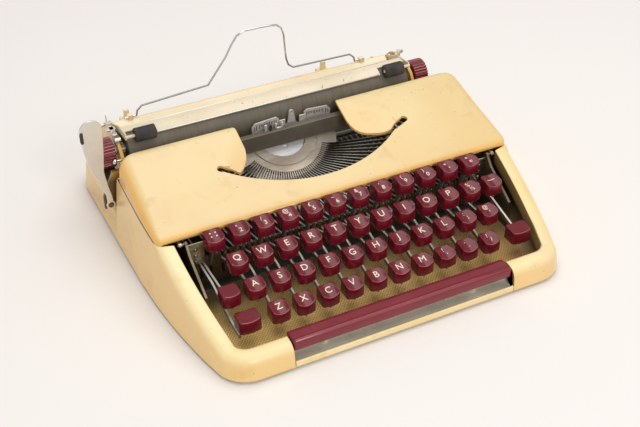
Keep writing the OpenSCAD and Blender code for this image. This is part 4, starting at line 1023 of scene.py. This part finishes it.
def press_cover(x, y, z):
    """The tongues run into the sheet without a step, the right one bends less, and the lip's corners are round."""
    side = 1 if x > CENTRE_X else -1
    across = abs(x - CENTRE_X)
    inner, kept, sweep = RIGHT_TONGUE if side > 0 else LEFT_TONGUE
    dip = tongue_dip(across, y, inner) if TONGUE_START < y < TONGUE_END else None
    if dip is not None:
        if abs(z - cover_top(y) + dip + 0.1) < NEAR:
            z = cover_top(y) - kept * dip
        elif abs(z - cover_top(y) + dip + COVER_T - 0.1) < NEAR:
            z += (1 - kept) * dip
        outward, forward = tongue_sweep(across, y, inner, *sweep)
        across, y, z = across + outward, y + forward, z + SWEEP_RISE * forward
    u = (across - HALF_AT_LIP + CORNER_R) / CORNER_R
    v = (LIP_Y + CORNER_R - y) / CORNER_R
    if 0 < u <= 1.1 and 0 < v <= 1.1:
        across = HALF_AT_LIP - CORNER_R + CORNER_R * u * math.sqrt(1 - v * v / 2)
        y = LIP_Y + CORNER_R - CORNER_R * v * math.sqrt(1 - u * u / 2)
    return CENTRE_X + side * across, y, z


dressed("ribbon_cover", cover_paint, "cream_paint", 0.7, 34, 3, press_cover)
dressed("cover_hinges", zinc, "steel", 0.2)


# Seam shade strip: a thin black rubber strip on the casing's rim, on which the cover's sides rest.
# It stands in for the shade in the seam gap, as a dark line along the seam.
SEAM_Z, SEAM_SLOPE = 52.6, 7.4 / 85.5
WALL_HALF, WALL_LEAN, WALL_TAPER, WALL_FRONT = 152.0, 0.1, 13.0, 117.5
seam_shade_strip = bmesh.new()
for side in (-1, 1):
    rings = []
    for k in range(16):
        y = SLOPE_Y + 5 * k
        z = SEAM_Z + SEAM_SLOPE * (y - LIP_Y)
        half = WALL_HALF - (WALL_TAPER * (y / WALL_FRONT) ** 2 if y < 0 else 0) - WALL_LEAN * z
        rings.append([
            seam_shade_strip.verts.new(Vector((CENTRE_X + side * (half + dx), y, z + dz)) * MM)
            for dx, dz in ((-0.8, -0.7), (0.05, -0.7), (0.2, -0.45), (0.2, 0.0), (0.05, 0.25), (-0.8, 0.25))
        ])
    join_rings(seam_shade_strip, rings)
    seam_shade_strip.faces.new(rings[0])
    seam_shade_strip.faces.new(list(reversed(rings[-1])))
fit_form("cover_seam_shade_strip", seam_shade_strip, rubber, "rubber", "machine")


# Carriage rail, bed, rack and pinion: the carriage runs on a grooved steel rail behind the platen.
# The rack under the bed turns a brass pinion, which the escapement lets go one tooth at a time.
for node in ("carriage_rail", "carriage_bed"):
    dressed(node, black_paint, "dark_metal", 0.3)
dressed("carriage_rack", zinc, "steel")
brass = metal_finish("brass", (206, 170, 92), (180, 142, 70), (120, 88, 44), 0.22, 0.45)
dressed("escapement_pinion", brass, "brass")


# Carriage end plates: blanked steel plates in ochre paint that hold the platen shaft and the rollers.
# The left one also carries the return lever and the line spacing. Low down they carry painted shade.
LOW_SHADE_Z = (66, 54)
ochre_paint = cream_finish("ochre_paint", (226, 180, 96), (200, 148, 68), 0.2, 0.3)
# Painted shade: the plates go dark brown low down.
coat_over(ochre_paint, place_mask(ochre_paint.node_tree, "Z", *LOW_SHADE_Z, 0.9), (70, 52, 30))
for node in ("left_end_plate", "right_end_plate"):
    dressed(node, ochre_paint, "cream_paint", 0.5)


# Line spacing at the left end: a crossed steel bracket on the plate's top edge, with a chrome stud before it.
# A rod and a pin work the paper release from this side, and a small ball-ended lever sets the lines.
chrome = metal_finish("chrome_plate", (238, 239, 240), (224, 225, 226), (206, 202, 196), 0.08, 0.2, 0.35)
fittings = bmesh.new()
add_block(fittings, (-134.0, 70.4, 82.6), (-126.6, 75.0, 84.0))
add_block(fittings, (-131.6, 62.6, 82.6), (-128.0, 82.0, 84.0))
add_block(fittings, (-131.8, 76.5, 83.0), (-127.4, 80.5, 86.2), 0.4)
add_turned(fittings, (-143.0, 87.0, 79.2), (1, 0, 0), [(0, 0.8), (0.4, 1.1), (13.0, 1.1)], 16)
fit_form("line_space_bracket", fittings, nickel, "steel", "carriage")
studs = bmesh.new()
add_turned(studs, (-132.2, 58.4, 81.6), (1, 0, 0), [(0, 1.5), (0.5, 2.0), (4.6, 2.0), (5.1, 1.5)], 20)
add_turned(studs, (-129.8, 66.0, 84.0), UP, [(-0.4, 1.4), (1.0, 1.4), (1.5, 0.9)], 16)
add_turned(studs, (-129.8, 85.0, 79.0), UP, [(0, 0.5), (9.0, 0.5), (9.4, 0.3)], 12)
ball = [(-1.8 * math.cos(math.radians(t)), 0.3 + 1.8 * math.sin(math.radians(t))) for t in range(20, 161, 20)]
add_turned(studs, (-136.0, 49.8, 69.5), (1, 0, 0), [(-1.8, 0.3)] + ball + [(1.8, 0.7), (6.0, 0.7)], 20)
fit_form("line_space_studs", studs, chrome, "chrome", "carriage")


# Platen and its knobs: a hard black rubber sleeve on a steel shaft, with a ribbed maroon knob at each end.
# The rubber is ground smooth and has gone slightly grey; a toothed wheel at the left steps the lines.
platen_rubber, tree, shader = start_finish("platen_rubber", Specular_IOR_Level=0.35)
turned_ground = use_effect(tree, brushed, Along=500.0, Across=60.0).outputs["Mask"]
toned = lay_over(tree, turned_ground, (102, 94, 80), (114, 106, 92))
set_colour(shader, stain(tree, toned, (128, 119, 105), 70, 0.5, 0.75, 0.4))
vary_roughness(shader, turned_ground, 0.42, 0.6)
grain(shader, 1500, 0.00002)
dressed("platen", platen_rubber, "rubber", 0.6)
dressed("platen_shaft", nickel, "steel", 0.3)
dressed("platen_knobs", maroon, "maroon", 0.25)
dressed("line_ratchet", zinc, "steel")


# Feed rollers: two small rubber rollers that press the paper against the platen from below.
# Each is a rubber tube on a steel spindle in the end plates.
for node in ("front_feed_roller", "rear_feed_roller"):
    dressed(node, rubber, "rubber", 0.3)


# Paper table: the painted sheet behind the platen that the paper slides down.
# It is folded from one blank, and two small lugs on it hold the wire support.
table_paint = cream_finish("table_paint", (250, 235, 202), (246, 224, 180), 0.1, 0.1)
dressed("paper_table", table_paint, "cream_paint", 0.4)


# Paper bail: an ivory lacquered strip curved round the platen, with satin rims along its length.
# Two rubber rollers at its ends hold the paper down.
PLATEN_Y, PLATEN_Z, BAIL_R = 63.4, 70.0, 17.25
ivory_lacquer, tree, shader = start_finish("ivory_lacquer", Specular_IOR_Level=0.5)
yellowed = patch_mask(tree, 16, 0.35, 0.7)
toned = lay_over(tree, yellowed, (236, 222, 196), (220, 203, 170))
toned = stain(tree, toned, (120, 104, 82), 300, 0.66, 0.72, 0.7)
set_colour(shader, toned)
vary_roughness(shader, yellowed, 0.25, 0.45)
grain(shader, 1200, 0.00002)
dressed("paper_bail", ivory_lacquer, "ivory", 0.3)
dressed("bail_rollers", rubber, "rubber", 0.6)
bail_rims = bmesh.new()
for turn, left, right in ((84.0, -124.6, 114.6), (126.6, -98.6, 88.6)):
    a = math.radians(turn)
    y, z = PLATEN_Y + BAIL_R * math.cos(a), PLATEN_Z + BAIL_R * math.sin(a)
    reach = right - left
    add_turned(bail_rims, (left, y, z), (1, 0, 0), [(0, 0.3), (0.3, 0.45), (reach - 0.3, 0.45), (reach, 0.3)], 12)
fit_form("bail_rims", bail_rims, satin, "chrome", body_of["paper_bail"])


# Margin rail and stops, paper release: steel fittings at the back of the carriage.
# The stops slide on the nickel-plated rail by hand and are painted like the table.
# The chromed release lever stands up at the right end, with a small thumb tab.
dressed("margin_rail", nickel, "steel", 0.3)
for node in ("left_margin_stop", "right_margin_stop"):
    dressed(node, table_paint, "cream_paint", 0.5)
dressed("paper_release_lever", chrome, "chrome", 0.3)
tab_outline = [
    (116.1, 81.0), (118.2, 81.0), (118.2, 87.0), (119.0, 87.8), (120.2, 87.8), (120.9, 88.4), (120.9, 89.8),
    (120.2, 90.4), (116.8, 90.4), (116.1, 89.8),
]
tab_mesh = blank_mesh("release_tab", tab_outline, [], 70.6, 71.8)
finish_piece("release_tab", tab_mesh, satin, "chrome", body_of["paper_release_lever"])


# Paper support: one bent spring-steel wire, chrome plated, that folds down on its two journals.
# It stands up behind the platen and props the typed sheet.
dressed("paper_support", chrome, "chrome", 0.0, 50)


# Return lever: a chromed steel blade with a broad rounded paddle at the left end of the carriage.
# It is brushed to a satin finish, and a dark rubber pad on the paddle's edge takes the finger.
dressed("return_lever", satin, "chrome", 0.5)
pad = bmesh.new()
add_block(pad, (-159.9, 44.8, 94.0), (-157.6, 48.0, 103.5), 0.7)
fit_form("finger_pad", pad, rubber, "rubber", body_of["return_lever"])
